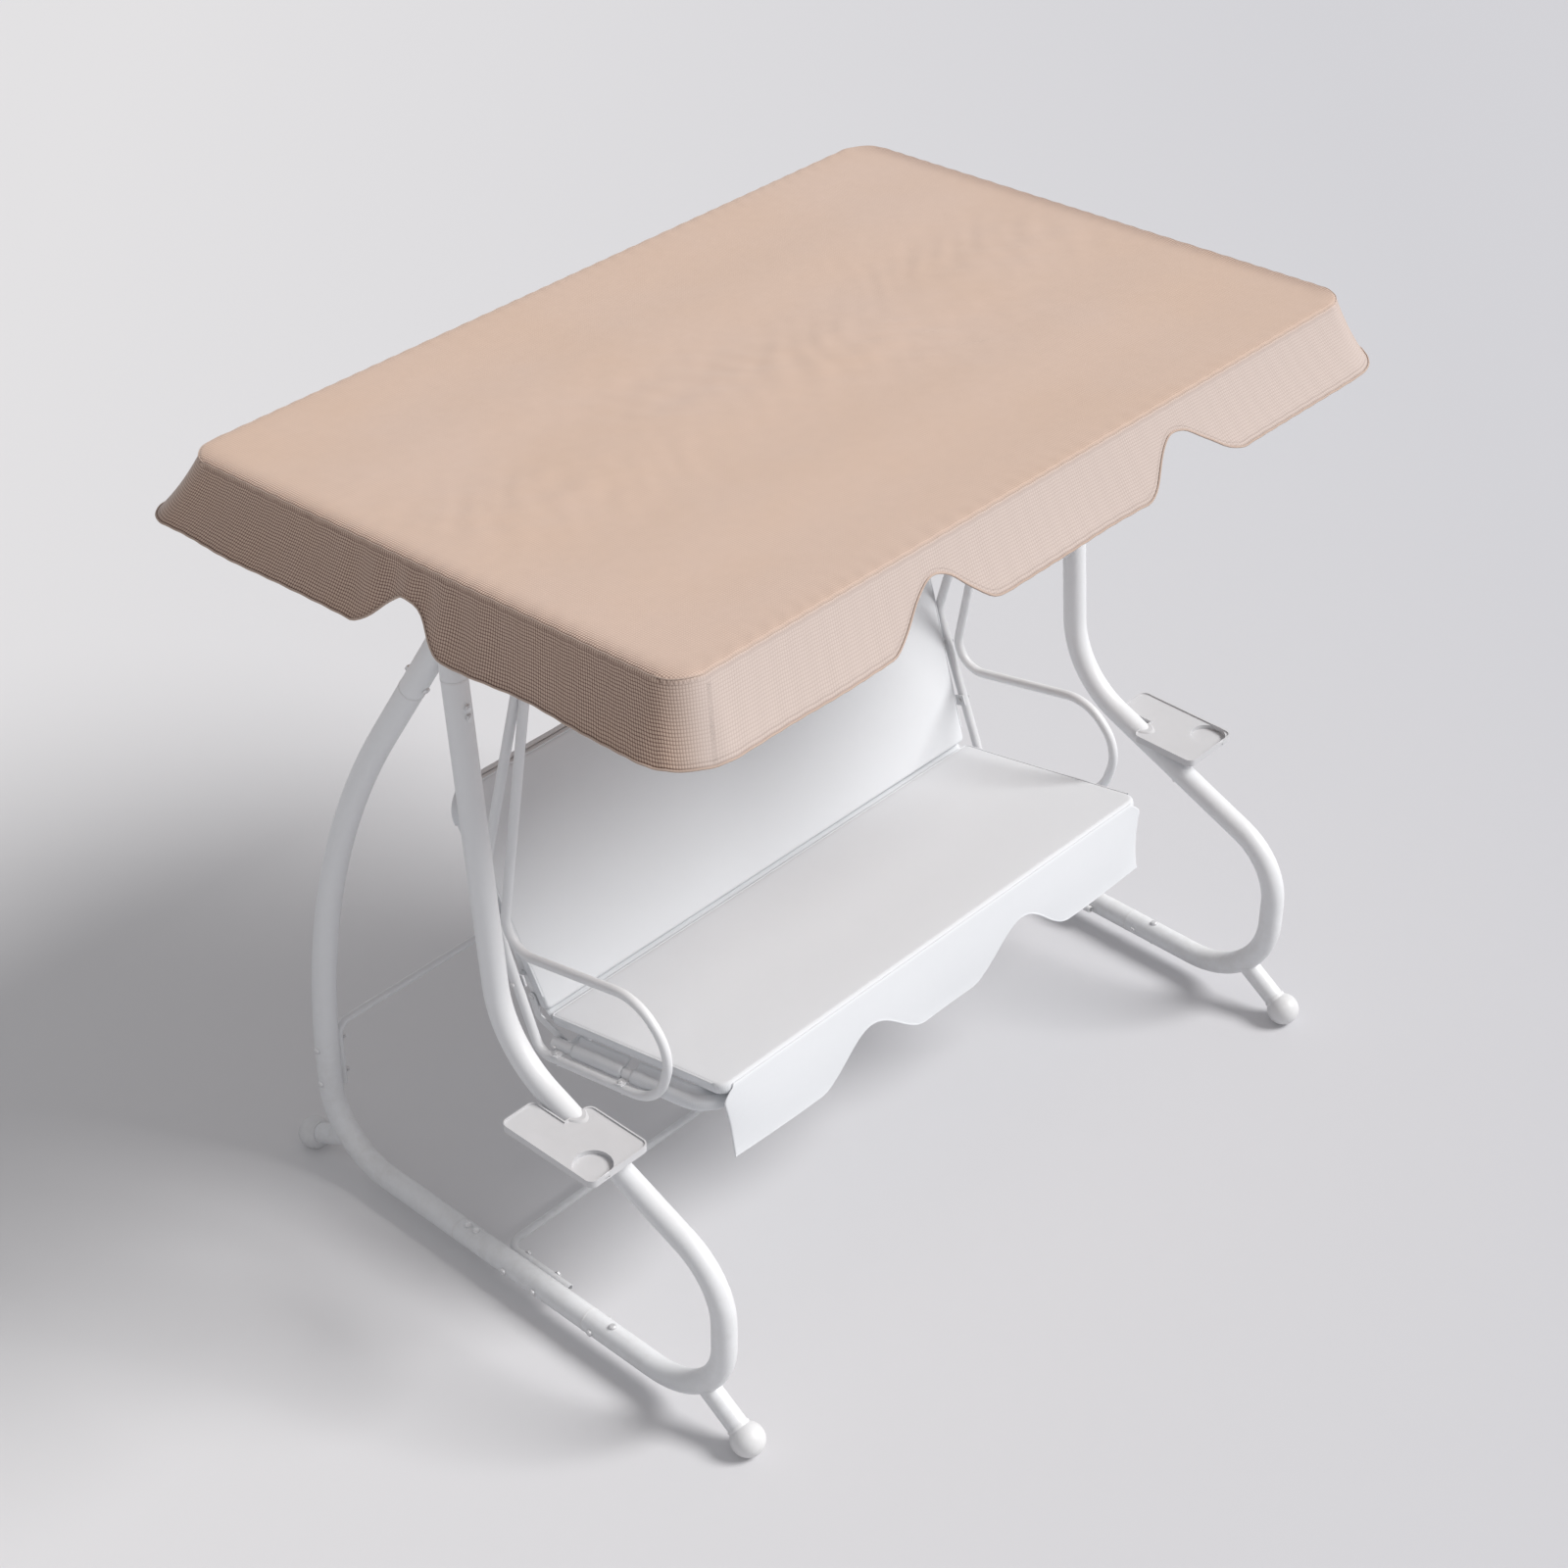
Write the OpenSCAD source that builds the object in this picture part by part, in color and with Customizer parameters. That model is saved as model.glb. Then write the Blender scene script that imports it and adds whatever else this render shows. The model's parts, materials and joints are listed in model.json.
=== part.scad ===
// Garden swing seat with a tilting canopy: a tubular stand, a bench hung from its top beam,
// a fabric roof and two drink trays. Millimetres, +Z up, +X along the bench.
// The front, where the sitters face, is -Y. The origin is on the ground under the middle.

/* [Stand] */
// Distance between the middles of the two side frames
stand_w = 1718; // [1500:1:2100]
// Diameter of the main tube
tube_d = 50; // [42:1:54]
// Wall of the main tube
tube_wall = 1.5; // [1:0.1:2.5]
// Height of the apex, where the legs meet
apex_h = 1541; // [1450:1:1700]
// Apex, back from the origin
apex_y = 13; // [0:1:40]
// Height of the base tube's middle
base_h = 55; // [50:1:80]
// Rear leg, back from the origin
rear_y = 495; // [450:1:560]
// Height at which the rear leg turns down
rear_knee_h = 779; // [720:1:820]
// Front upright, forward of the origin
front_y = 627; // [560:1:680]
// Height at which the front upright turns back
front_top_h = 405; // [380:1:440]
// Knee of the front tube, forward of the origin
knee_y = 57; // [30:1:90]
// Height of the front tube's knee
knee_h = 647; // [620:1:680]

/* [Bends] */
// Bend of the rear leg's knee
rear_knee_r = 1800; // [1500:10:1850]
// Bend at the rear of the base
rear_base_r = 160; // [120:1:180]
// Bend at the front of the base
front_base_r = 190; // [140:1:200]
// Bend at the top of the front upright
front_top_r = 160; // [120:1:180]
// Bend at the knee of the front tube
knee_r = 220; // [160:1:300]

/* [Feet] */
// Diameter of a foot ball
ball_d = 70; // [60:1:80]
// Flat worn on the underside of a ball, as a depth
ball_flat = 1; // [0.5:0.1:3]
// Diameter of the stub that carries a ball
stub_d = 44; // [36:1:46]
// Front balls, forward of the origin
front_foot_y = 685; // [670:1:720]
// Rear balls, back from the origin
rear_foot_y = 569; // [550:1:600]

/* [Joints in the side frame] */
// Rear joint of the base, back from the origin
rear_joint_y = 110; // [90:1:140]
// Front joint of the base, forward of the origin
front_joint_y = 257; // [230:1:280]
// Width of a joint ring
ring_w = 4; // [3:0.5:8]
// Length of a drawn-down tube end
spigot_len = 96; // [90:1:110]
// Clearance round a drawn-down tube end
spigot_gap = 0.15; // [0.1:0.05:0.4]
// Length of the apex fitting along the rear leg
apex_rear_len = 205; // [190:1:240]
// Length of the apex fitting along the front leg
apex_front_len = 95; // [80:1:120]

/* [Cross bars] */
// Diameter of the two cross bars
bar_d = 16; // [14:1:22]
// Bend of a cross bar
bar_r = 30; // [24:1:50]
// Height of the rear cross bar
rear_bar_h = 355; // [320:1:420]
// Length of a rear bar end along the leg
rear_bar_drop = 156; // [140:1:170]
// Length of a front bar end along the base
front_bar_run = 180; // [160:1:200]
// Front cross bar, back from the origin
front_bar_y = 10; // [0:1:20]

/* [Top beam] */
// Diameter of the top beam
beam_d = 44; // [38:1:46]
// Depth of the beam's socket on the apex fitting
beam_socket_len = 60; // [50:1:80]

/* [Bolts] */
// Diameter of the frame bolts
bolt_d = 8; // [6:0.5:10]
// Clearance of a bolt in its hole, all round
bolt_gap = 0.2; // [0.1:0.05:0.5]

/* [Hangers] */
// From the middle of the side frames in to the hanger loops
loop_inset = 184; // [170:1:220]
// Diameter of the loop tube
loop_d = 20; // [18:1:24]
// Wall of the loop and seat tubes
loop_wall = 1.5; // [1:0.1:2]
// Drop from the beam's middle to the hinge
hinge_drop = 53; // [50:1:70]
// Diameter of the hinge bolt
hinge_d = 10; // [8:0.5:12]
// Running clearance round the hinge bolt
hinge_gap = 0.06; // [0.02:0.01:0.1]
// From the hinges down to the top of the strands
strand_top_drop = 173; // [120:1:200]
// Height of the armrest's low point over the seat
arm_rise = 181; // [160:1:200]
// Slope of the armrest, in degrees
arm_pitch = 12.2; // [8:0.1:16]
// Thickness of the hanger plate
hanger_t = 5; // [4:0.5:6]

/* [Seat] */
// From the middle of the loops in to the seat's side edges
seat_inset = 42; // [38:1:60]
// Depth of the seat
seat_d = 479; // [440:1:500]
// Height of the seat's back edge
seat_h = 508; // [495:1:520]
// Back edge of the seat, back from the origin
seat_y = 62; // [50:1:72]
// Rise of the seat towards the front, in degrees
seat_rise = 11; // [8:0.5:13]
// Thickness of the seat and back
pad_t = 25; // [20:1:30]
// Diameter of the rails under the seat and behind the back
rail_d = 26; // [22:1:28]
// Drop of the front valance
valance_drop = 148; // [100:1:180]
// Depth of the two scallops in the valance
scallop_h = 85; // [50:1:100]

/* [Back] */
// Height of the back along its slope
back_len = 500; // [460:1:540]
// How far the back spreads at each side towards its top
back_spread = 47; // [20:1:55]
// Lean of the back, in degrees
back_lean = 22; // [18:1:26]

/* [Trays] */
// From the front tubes' foremost line back to the trays
tray_set = 219; // [200:1:240]
// How far a tray reaches in past the middle of the front tube
tray_in = 37; // [33:1:45]
// Length of a tray
tray_len = 243; // [220:1:280]
// Width of a tray
tray_w = 150; // [140:1:170]
// Thickness of a tray
tray_t = 16; // [14:1:24]
// Height of a tray's rim above its deck
rim_h = 3; // [2:0.5:5]
// Width of a tray's rim
rim_w = 3; // [2:0.5:5]
// Diameter of the drink recess
cup_d = 77; // [70:1:85]
// Depth of the drink recess
cup_depth = 10; // [8:0.5:11]

/* [Canopy] */
// How far the roof reaches past the middle of each side frame
roof_over = 61; // [50:1:120]
// Depth of the roof's flat top
roof_d = 1259; // [1100:1:1350]
// Height of the roof's top over the apex
roof_rise = 161; // [150:1:200]
// Tilt of the roof at rest, front edge up, in degrees
roof_tilt = 3; // [0:1:6]
// Drop of the skirts
skirt_drop = 131; // [100:1:150]
// Flare of the side skirts
side_flare = 55; // [40:1:70]
// Flare of the front skirt
front_flare = 66; // [40:1:90]
// Flare of the rear skirt
rear_flare = 79; // [40:1:90]
// Depth of the scallops in the front and rear skirts
skirt_scallop = 78; // [40:1:90]
// Thickness of the canopy fabric
fabric_t = 3; // [2:0.5:4]
// Diameter of the roof rails
roof_rail_d = 20; // [16:1:25]
// Diameter of the canopy posts
post_d = 25; // [22:1:30]

/* [Hidden] */
$fn = 96;

steel = [0.90, 0.90, 0.91];
plated = [0.70, 0.71, 0.72];
plastic = [0.86, 0.86, 0.86];
cloth = [0.93, 0.93, 0.93];
beige = [0.79, 0.70, 0.64];

touch = 0.3; // air between soft pieces and what carries them
fit = 0.1; // air between welded-on and butted pieces
bend_thin = 0.2; // what a bend loses of the tube's diameter
bend_lap = 1; // how far a bend reaches into the straight before it

// ---- plane paths ----
function unit(v) = v / norm(v);
function towards(a, b, far) = a + unit(b - a) * far;
function turn(a, b, c) =
    let (u = unit(b - a), v = unit(c - b)) atan2(u[0] * v[1] - u[1] * v[0], u * v);
function setback(a, b, c, r) = r * tan(abs(turn(a, b, c)) / 2);
function meet(p, u, q, v) = p + u * (((q - p)[0] * v[1] - (q - p)[1] * v[0]) / (u[0] * v[1] - u[1] * v[0]));
function slope_dir(deg) = [cos(deg), sin(deg)];
function width_at(t, a, b) = a + (b - a) * t;

// A round bar along a plane path, with a bend of radius radii[i] at each inner point
module bent_bar(pts, radii, d) {
    n = len(pts);
    cut = [for (i = [0 : n - 1])
        i == 0 || i == n - 1 ? 0 : setback(pts[i - 1], pts[i], pts[i + 1], radii[i])];
    for (i = [0 : n - 2]) {
        dir = unit(pts[i + 1] - pts[i]);
        from = pts[i] + dir * cut[i];
        translate([from[0], from[1], 0])
            rotate([0, 0, atan2(dir[1], dir[0])])
                rotate([0, 90, 0])
                    cylinder(d = d, h = norm(pts[i + 1] - pts[i]) - cut[i] - cut[i + 1]);
    }
    for (i = [1 : n - 2]) {
        t = turn(pts[i - 1], pts[i], pts[i + 1]);
        u = unit(pts[i] - pts[i - 1]);
        start = pts[i] - u * cut[i];
        centre = start + sign(t) * radii[i] * [-u[1], u[0]];
        first = atan2(start[1] - centre[1], start[0] - centre[0]);
        lap = bend_lap / radii[i] * 180 / PI;
        translate([centre[0], centre[1], 0])
            rotate([0, 0, (t > 0 ? first : first + t) - lap])
                rotate_extrude(angle = abs(t) + 2 * lap)
                    translate([radii[i], 0])
                        circle(d = d - bend_thin);
    }
}

// The same path with its ends moved outwards, for the bore of a tube: a negative move stops short
function opened(pts, first = 1, last = 1) =
    let (n = len(pts))
    [for (i = [0 : n - 1])
        i == 0 ? towards(pts[0], pts[1], -first) :
        i == n - 1 ? towards(pts[n - 1], pts[n - 2], -last) : pts[i]];

module bent_tube(pts, radii, d, wall) {
    difference() {
        bent_bar(pts, radii, d);
        bent_bar(opened(pts), radii, d - 2 * wall);
    }
}

// A round bar, or what a tube leaves, from point a to point b of a plane
module strut(a, b, d) {
    dir = unit(b - a);
    translate([a[0], a[1], 0])
        rotate([0, 0, atan2(dir[1], dir[0])])
            rotate([0, 90, 0])
                cylinder(d = d, h = norm(b - a));
}

// Plane [y, z] at a given x
module side_plane(x) { translate([x, 0, 0]) rotate([90, 0, 90]) children(); }
module both_sides() { for (side = [-1, 1]) scale([side, 1, 1]) children(); }
module on_side(side) { if (side < 0) mirror([1, 0, 0]) children(); else children(); }

// ---- side frame ----
frame_x = stand_w / 2;
loop_x = frame_x - loop_inset;
seat_w = 2 * (loop_x - seat_inset);
back_top_w = seat_w + 2 * back_spread;
roof_w = stand_w + 2 * roof_over;
apex = [apex_y, apex_h];
rear_knee = [rear_y, rear_knee_h];
rear_base = [rear_y, base_h];
front_base = [-front_y, base_h];
front_top = [-front_y, front_top_h];
knee = [-knee_y, knee_h];
rear_joint = [rear_joint_y, base_h];
front_joint = [-front_joint_y, base_h];
rear_top = towards(apex, rear_knee, apex_rear_len + ring_w);
front_leg_top = towards(apex, knee, apex_front_len + ring_w);
bore_d = tube_d - 2 * tube_wall;
spigot_d = bore_d - 2 * spigot_gap;
spigot_step = 3;

// A drawn-down end that starts at point a and points to point b, and the bore through its shoulder
module spigot(a, b) {
    strut(towards(a, b, -spigot_step / 2), towards(a, b, spigot_len), spigot_d);
}
module spigot_bore(a, b) {
    strut(towards(a, b, -2 * spigot_step), towards(a, b, spigot_len + 1), spigot_d - 2 * tube_wall);
}

function arm_h(y) = front_top_h + (y + front_y) * (knee_h - front_top_h) / (front_y - knee_y);
arm_slope = atan2(knee_h - front_top_h, front_y - knee_y);

// Bolts of the side frame, each set off from the joint that it holds
apex_bolt_sets = [55, 75];
apex_rear_bolt_set = 30;
base_bolt_sets = [21, 45];
front_bolt_set = 68;
front_side_bolt_set = 28;
apex_bolts = [for (set = apex_bolt_sets) towards(apex, knee, apex_front_len + set)];
apex_rear_bolt = towards(apex, rear_knee, apex_rear_len - apex_rear_bolt_set);
base_bolt_ys = [for (set = base_bolt_sets) rear_joint_y - set];
front_bolt_y = -front_joint_y - front_bolt_set;
front_side_bolt_y = -front_joint_y - front_side_bolt_set;
bolt_hole_d = bolt_d + 2 * bolt_gap;

function heading(a, b) = atan2(b[1] - a[1], b[0] - a[0]);

// Hole across the tube in the frame's plane, at point p, along the direction deg
module plane_hole(p, deg) {
    strut(p - slope_dir(deg) * tube_d, p + slope_dir(deg) * tube_d, bolt_hole_d);
}

// Bolt along z from under its nut at z = 0 to its round head at z = grip
module bolt(grip, d) {
    rotate_extrude() polygon([
        [0, -0.75 * d], [d / 2, -0.75 * d], [d / 2, grip], [0.95 * d, grip],
        [0.85 * d, grip + 0.45 * d], [0.5 * d, grip + 0.6 * d], [0, grip + 0.6 * d]]);
    translate([0, 0, -0.6 * d]) cylinder(d = 1.75 * d, h = 0.6 * d, $fn = 6);
}

module plane_bolt(p, deg) {
    foot = p - slope_dir(deg) * tube_d / 2;
    translate([foot[0], foot[1], 0]) rotate([0, 0, deg]) rotate([0, 90, 0]) bolt(tube_d, bolt_d);
}

front_leg_dir = heading(knee, apex);
rear_leg_dir = heading(rear_knee, apex);

// Stub that runs out of a bend to a foot ball
front_foot = [-front_foot_y, ball_d / 2 - ball_flat];
rear_foot = [rear_foot_y, ball_d / 2 - ball_flat];
front_bend_mid = front_base + [1, 1] * front_base_r * (1 - sqrt(0.5));
rear_bend_mid = rear_base + [-1, 1] * rear_base_r * (1 - sqrt(0.5));
stub_end = 24; // from the ball's centre
collar_w = 8;
plug_len = 40;

function foot_rim(bend_mid, foot) = towards(foot, bend_mid, stub_end + collar_w);
module foot_stub(bend_mid, foot) { strut(bend_mid, foot_rim(bend_mid, foot), stub_d); }
module foot_stub_bore(bend_mid, foot) {
    rim = foot_rim(bend_mid, foot);
    strut(bend_mid, towards(rim, bend_mid, -1), stub_d - 2 * tube_wall);
}

module front_tube(side) {
    pts = [front_joint - [ring_w, 0], front_base, front_top, knee, front_leg_top];
    radii = [0, front_base_r, front_top_r, knee_r, 0];
    color(steel) on_side(side) side_plane(frame_x)
        difference() {
            union() {
                bent_bar(pts, radii, tube_d);
                foot_stub(front_bend_mid, front_foot);
            }
            bent_bar(opened(pts), radii, bore_d);
            foot_stub_bore(front_bend_mid, front_foot);
            for (p = apex_bolts) plane_hole(p, front_leg_dir - 90);
            plane_hole([front_bolt_y, base_h], 90);
            translate([front_side_bolt_y, base_h, 0]) cylinder(d = bolt_hole_d, h = 2 * tube_d, center = true);
            tray_screw_hole();
        }
}

// Hole through the front tube for the screw that holds the tray
tray_front = tray_set - front_y;
tray_screw_y = tray_front + 0.26 * tray_len;
tray_screw_d = 5;
module tray_screw_hole() {
    strut([tray_screw_y, arm_h(tray_screw_y) - 2 * tube_d],
          [tray_screw_y, arm_h(tray_screw_y) + 2 * tube_d], tray_screw_d + 2 * bolt_gap);
}

module rear_leg(side) {
    rear_end = rear_joint + [ring_w, 0];
    pts = [rear_top, rear_knee, rear_base, rear_end];
    radii = [0, rear_knee_r, rear_base_r, 0];
    color(steel) on_side(side) side_plane(frame_x)
        difference() {
            union() {
                bent_bar(pts, radii, tube_d);
                spigot(rear_top, apex);
                spigot(rear_end, front_joint);
                foot_stub(rear_bend_mid, rear_foot);
            }
            bent_bar(opened(pts, -spigot_step, -spigot_step), radii, bore_d);
            spigot_bore(rear_top, apex);
            spigot_bore(rear_end, front_joint);
            foot_stub_bore(rear_bend_mid, rear_foot);
            plane_hole(apex_rear_bolt, rear_leg_dir - 90);
            for (y = base_bolt_ys) plane_hole([y, base_h], 90);
            for (z = rear_bar_bolt_zs)
                translate([rear_y, z, 0]) cylinder(d = bolt_hole_d, h = 2 * tube_d, center = true);
        }
}

module base_tube(side) {
    color(steel) on_side(side) side_plane(frame_x)
        difference() {
            union() {
                strut(rear_joint, front_joint, tube_d);
                spigot(front_joint, front_base);
            }
            strut(towards(rear_joint, front_joint, -1), towards(front_joint, rear_joint, spigot_step), bore_d);
            spigot_bore(front_joint, front_base);
            for (y = base_bolt_ys) plane_hole([y, base_h], 90);
            plane_hole([front_bolt_y, base_h], 90);
            translate([front_side_bolt_y, base_h, 0]) cylinder(d = bolt_hole_d, h = 2 * tube_d, center = true);
            for (y = front_bar_bolt_ys)
                translate([y, base_h, 0]) cylinder(d = bolt_hole_d, h = 2 * tube_d, center = true);
        }
}

// Fitting at the apex: two leg ends, the beam's socket and the post's socket in one piece
socket_d = tube_d + 6;
post_socket_h = 50;
module top_joint(side) {
    color(steel) on_side(side)
        difference() {
            union() {
                side_plane(frame_x) {
                    strut(apex, towards(apex, rear_knee, apex_rear_len), tube_d);
                    strut(apex, towards(apex, knee, apex_front_len), tube_d);
                    spigot(towards(apex, knee, apex_front_len), knee);
                    translate([apex[0], apex[1], 0]) sphere(d = tube_d + 2);
                }
                translate([frame_x - tube_d / 2 - beam_socket_len, apex_y, apex_h])
                    rotate([0, 90, 0]) cylinder(d = socket_d, h = tube_d / 2 + beam_socket_len);
                translate([frame_x, apex_y, apex_h]) cylinder(d = post_d + 7, h = tube_d / 2 + post_socket_h);
            }
            side_plane(frame_x) {
                strut(towards(apex, rear_knee, apex_rear_len - spigot_len - 4),
                      towards(apex, rear_knee, apex_rear_len + 1), bore_d);
                spigot_bore(towards(apex, knee, apex_front_len), knee);
                plane_hole(apex_rear_bolt, rear_leg_dir - 90);
                for (p = apex_bolts) plane_hole(p, front_leg_dir - 90);
            }
            translate([frame_x - tube_d / 2 - beam_socket_len - 1, apex_y, apex_h])
                rotate([0, 90, 0]) cylinder(d = beam_d + 2 * fit, h = beam_socket_len + 1);
            translate([frame_x, apex_y, apex_h + tube_d / 2])
                cylinder(d = post_d + 2 * fit, h = post_socket_h + 1);
        }
}

module joint_ring(a, b) {
    difference() {
        strut(a, b, tube_d + 1);
        strut(towards(a, b, -1), towards(b, a, -1), spigot_d + 2 * fit);
    }
}

module joint_rings() {
    color(plastic) both_sides() side_plane(frame_x) {
        joint_ring(towards(apex, rear_knee, apex_rear_len), rear_top);
        joint_ring(towards(apex, knee, apex_front_len), front_leg_top);
        joint_ring(rear_joint, rear_joint + [ring_w, 0]);
        joint_ring(front_joint, front_joint - [ring_w, 0]);
    }
}

// Ball with a collar against the stub's end and a plug inside the stub, turned about the stub's line
module ball_foot(foot, bend_mid) {
    rim = stub_end + collar_w;
    lean = unit(bend_mid - foot);
    difference() {
        translate([foot[0], foot[1], 0]) rotate([0, 0, atan2(lean[1], lean[0])]) rotate([0, 90, 0])
            rotate_extrude() {
                intersection() {
                    circle(d = ball_d);
                    translate([0, -ball_d]) square([ball_d, 2 * ball_d]);
                }
                square([stub_d / 2 + 2, rim]);
                square([stub_d / 2 - tube_wall - spigot_gap, rim + plug_len]);
            }
        translate([foot[0] - ball_d, -ball_d, -ball_d]) cube([2 * ball_d, ball_d, 2 * ball_d]);
    }
}

module ball_feet() {
    color(plastic) both_sides() side_plane(frame_x) {
        ball_foot(front_foot, front_bend_mid);
        ball_foot(rear_foot, rear_bend_mid);
    }
}

// ---- cross bars ----
bar_x = frame_x - tube_d / 2 - bar_d / 2 - touch;
bar_wall = 1.2;
rear_bar_bolt_sets = [30, 119]; // from the free end of the rear bar
front_bar_bolt_sets = [46, 131]; // from the free end of the front bar
rear_bar_bolt_zs = [for (set = rear_bar_bolt_sets) rear_bar_h - rear_bar_drop + set];
front_bar_bolt_ys = [for (set = front_bar_bolt_sets) front_bar_y - front_bar_run + set];

module cross_bar(run) {
    bent_tube([[-bar_x, -run], [-bar_x, 0], [bar_x, 0], [bar_x, -run]], [0, bar_r, bar_r, 0], bar_d, bar_wall);
}

module rear_cross_bar() {
    color(steel) difference() {
        translate([0, rear_y, rear_bar_h]) rotate([90, 0, 0]) cross_bar(rear_bar_drop);
        both_sides() for (z = rear_bar_bolt_zs)
            translate([bar_x, rear_y, z]) rotate([0, 90, 0])
                cylinder(d = bolt_hole_d, h = 2 * bar_d, center = true);
    }
}

module front_cross_bar() {
    color(steel) difference() {
        translate([0, front_bar_y, base_h]) cross_bar(front_bar_run);
        both_sides() for (y = front_bar_bolt_ys)
            translate([bar_x, y, base_h]) rotate([0, 90, 0])
                cylinder(d = bolt_hole_d, h = 2 * bar_d, center = true);
    }
}

module cross_bolt() {
    inner = bar_x - bar_d / 2;
    outer = frame_x + tube_d / 2;
    translate([inner, 0, 0]) rotate([0, 90, 0]) bolt(outer - inner, bolt_d);
}

module cross_bar_bolts() {
    color(plated) both_sides() {
        for (z = rear_bar_bolt_zs) translate([0, rear_y, z]) cross_bolt();
        for (y = front_bar_bolt_ys) translate([0, y, base_h]) cross_bolt();
    }
}

module frame_bolts() {
    color(plated) both_sides() side_plane(frame_x) {
        for (p = apex_bolts) plane_bolt(p, front_leg_dir - 90);
        plane_bolt(apex_rear_bolt, rear_leg_dir + 90);
        for (y = base_bolt_ys) plane_bolt([y, base_h], 90);
        plane_bolt([front_bolt_y, base_h], 90);
        translate([front_side_bolt_y, base_h, -tube_d / 2]) bolt(tube_d, bolt_d);
    }
}

// ---- top beam and hinges ----
hinge_set = 11; // hinge, forward of the beam's middle
hinge = [apex_y - hinge_set, apex_h - hinge_drop];
bracket_t = 4;
bracket_gap = 26; // between the two ears of a bracket
eye_d = 24;
eye_w = bracket_gap - 2 * touch;
beam_end = frame_x - tube_d / 2 - fit;

module top_beam() {
    color(steel) translate([-beam_end, apex_y, apex_h]) rotate([0, 90, 0])
        difference() {
            cylinder(d = beam_d, h = 2 * beam_end);
            translate([0, 0, -1]) cylinder(d = beam_d - 2 * tube_wall, h = 2 * beam_end + 2);
        }
}

// A pair of ears that hangs from the beam and carries the hinge bolt
module hinge_brackets() {
    color(steel) both_sides()
        difference() {
            for (ear = [-1, 1])
                translate([loop_x + ear * (bracket_gap + bracket_t) / 2, 0, 0])
                    rotate([90, 0, 90])
                        linear_extrude(bracket_t, center = true) {
                            translate(hinge) circle(d = eye_d + 8);
                            polygon([
                                hinge + [-(eye_d + 8) / 2, 0], hinge + [(eye_d + 8) / 2, 0],
                                apex + [beam_d * 0.45, 0], apex - [beam_d * 0.45, 0]]);
                        }
            translate([loop_x, apex_y, apex_h]) rotate([0, 90, 0])
                cylinder(d = beam_d + 2 * fit, h = 2 * bracket_gap, center = true);
            side_plane(loop_x) translate(hinge) cylinder(d = hinge_d + 2 * hinge_gap, h = 60, center = true);
        }
}

module hinge_bolts() {
    half = bracket_gap / 2 + bracket_t;
    color(plated) both_sides() side_plane(loop_x) translate([hinge[0], hinge[1], -half]) bolt(2 * half, hinge_d);
}

// ---- seat and hanger loops ----
seat_back = [seat_y, seat_h];
seat_dir = slope_dir(180 - seat_rise); // forwards along the seat
seat_up = slope_dir(90 - seat_rise);
back_dir = slope_dir(90 - back_lean); // upwards along the back
back_out = slope_dir(-back_lean); // backwards, square to the back
back_foot = seat_back + seat_up * 2;
seat_front = seat_back + seat_dir * seat_d;

tab_t = 3;
rail_sink = 11.7; // from the underside of the seat's fabric down to the rails
run_sink = 14.4; // from the rails' middle down to the middle of the loop's lower run
rail_drop = pad_t + touch + rail_sink + rail_d / 2; // from the seat's face to the rails' middle
run_drop = rail_drop + run_sink;
run_at = seat_back - seat_up * run_drop;
strand_set = 11; // the loop's rear strand, behind the face of the back
strand_at = back_foot + back_out * strand_set;

// The loop's corners, each where two of its straight stretches would cross
strand_lean = 9.5; // the loop's front strand runs back by this, in degrees, on its way down
shin_lean = 15; // the loop runs back by this under the nose
kink_at = 0.744; // where the rear strand bends towards the hinge, as a share of the back
strand_dir = slope_dir(strand_lean - 90);
arm_set = 58; // how far the armrest's low point lies in front of the seat's back edge
arm_reach = 0.78 * seat_d / cos(arm_pitch);
nose_drop = 87;
elbow = meet(hinge, strand_dir, [seat_y - arm_set, seat_h + arm_rise], slope_dir(-arm_pitch));
arm_front = elbow - slope_dir(-arm_pitch) * arm_reach;
nose = arm_front - [nose_drop, nose_drop];
toe = meet(nose, slope_dir(shin_lean - 90), run_at, seat_dir);
heel = meet(run_at, seat_dir, strand_at, back_dir);
kink = heel + back_dir * kink_at * back_len;
front_end = meet(hinge, strand_dir, hinge - [0, strand_top_drop], [1, 0]);
rear_end = front_end + [loop_d + 0.6, 0];

module hanger_loop(side) {
    color(steel) on_side(side) side_plane(loop_x)
        difference() {
            bent_tube([front_end, elbow, arm_front, nose, toe, heel, kink, rear_end],
                      [0, 60, 108, 98, 115, 35, 60, 0], loop_d, loop_wall);
            for (far = tab_fars) seat_strut(far, -run_drop - loop_d, -run_drop + loop_d, loop_bolt_d + 2 * bolt_gap);
            for (far = bracket_fars)
                translate(strand_at + back_dir * far)
                    cylinder(d = loop_bolt_d + 2 * bolt_gap, h = 2 * loop_d, center = true);
        }
}

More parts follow.
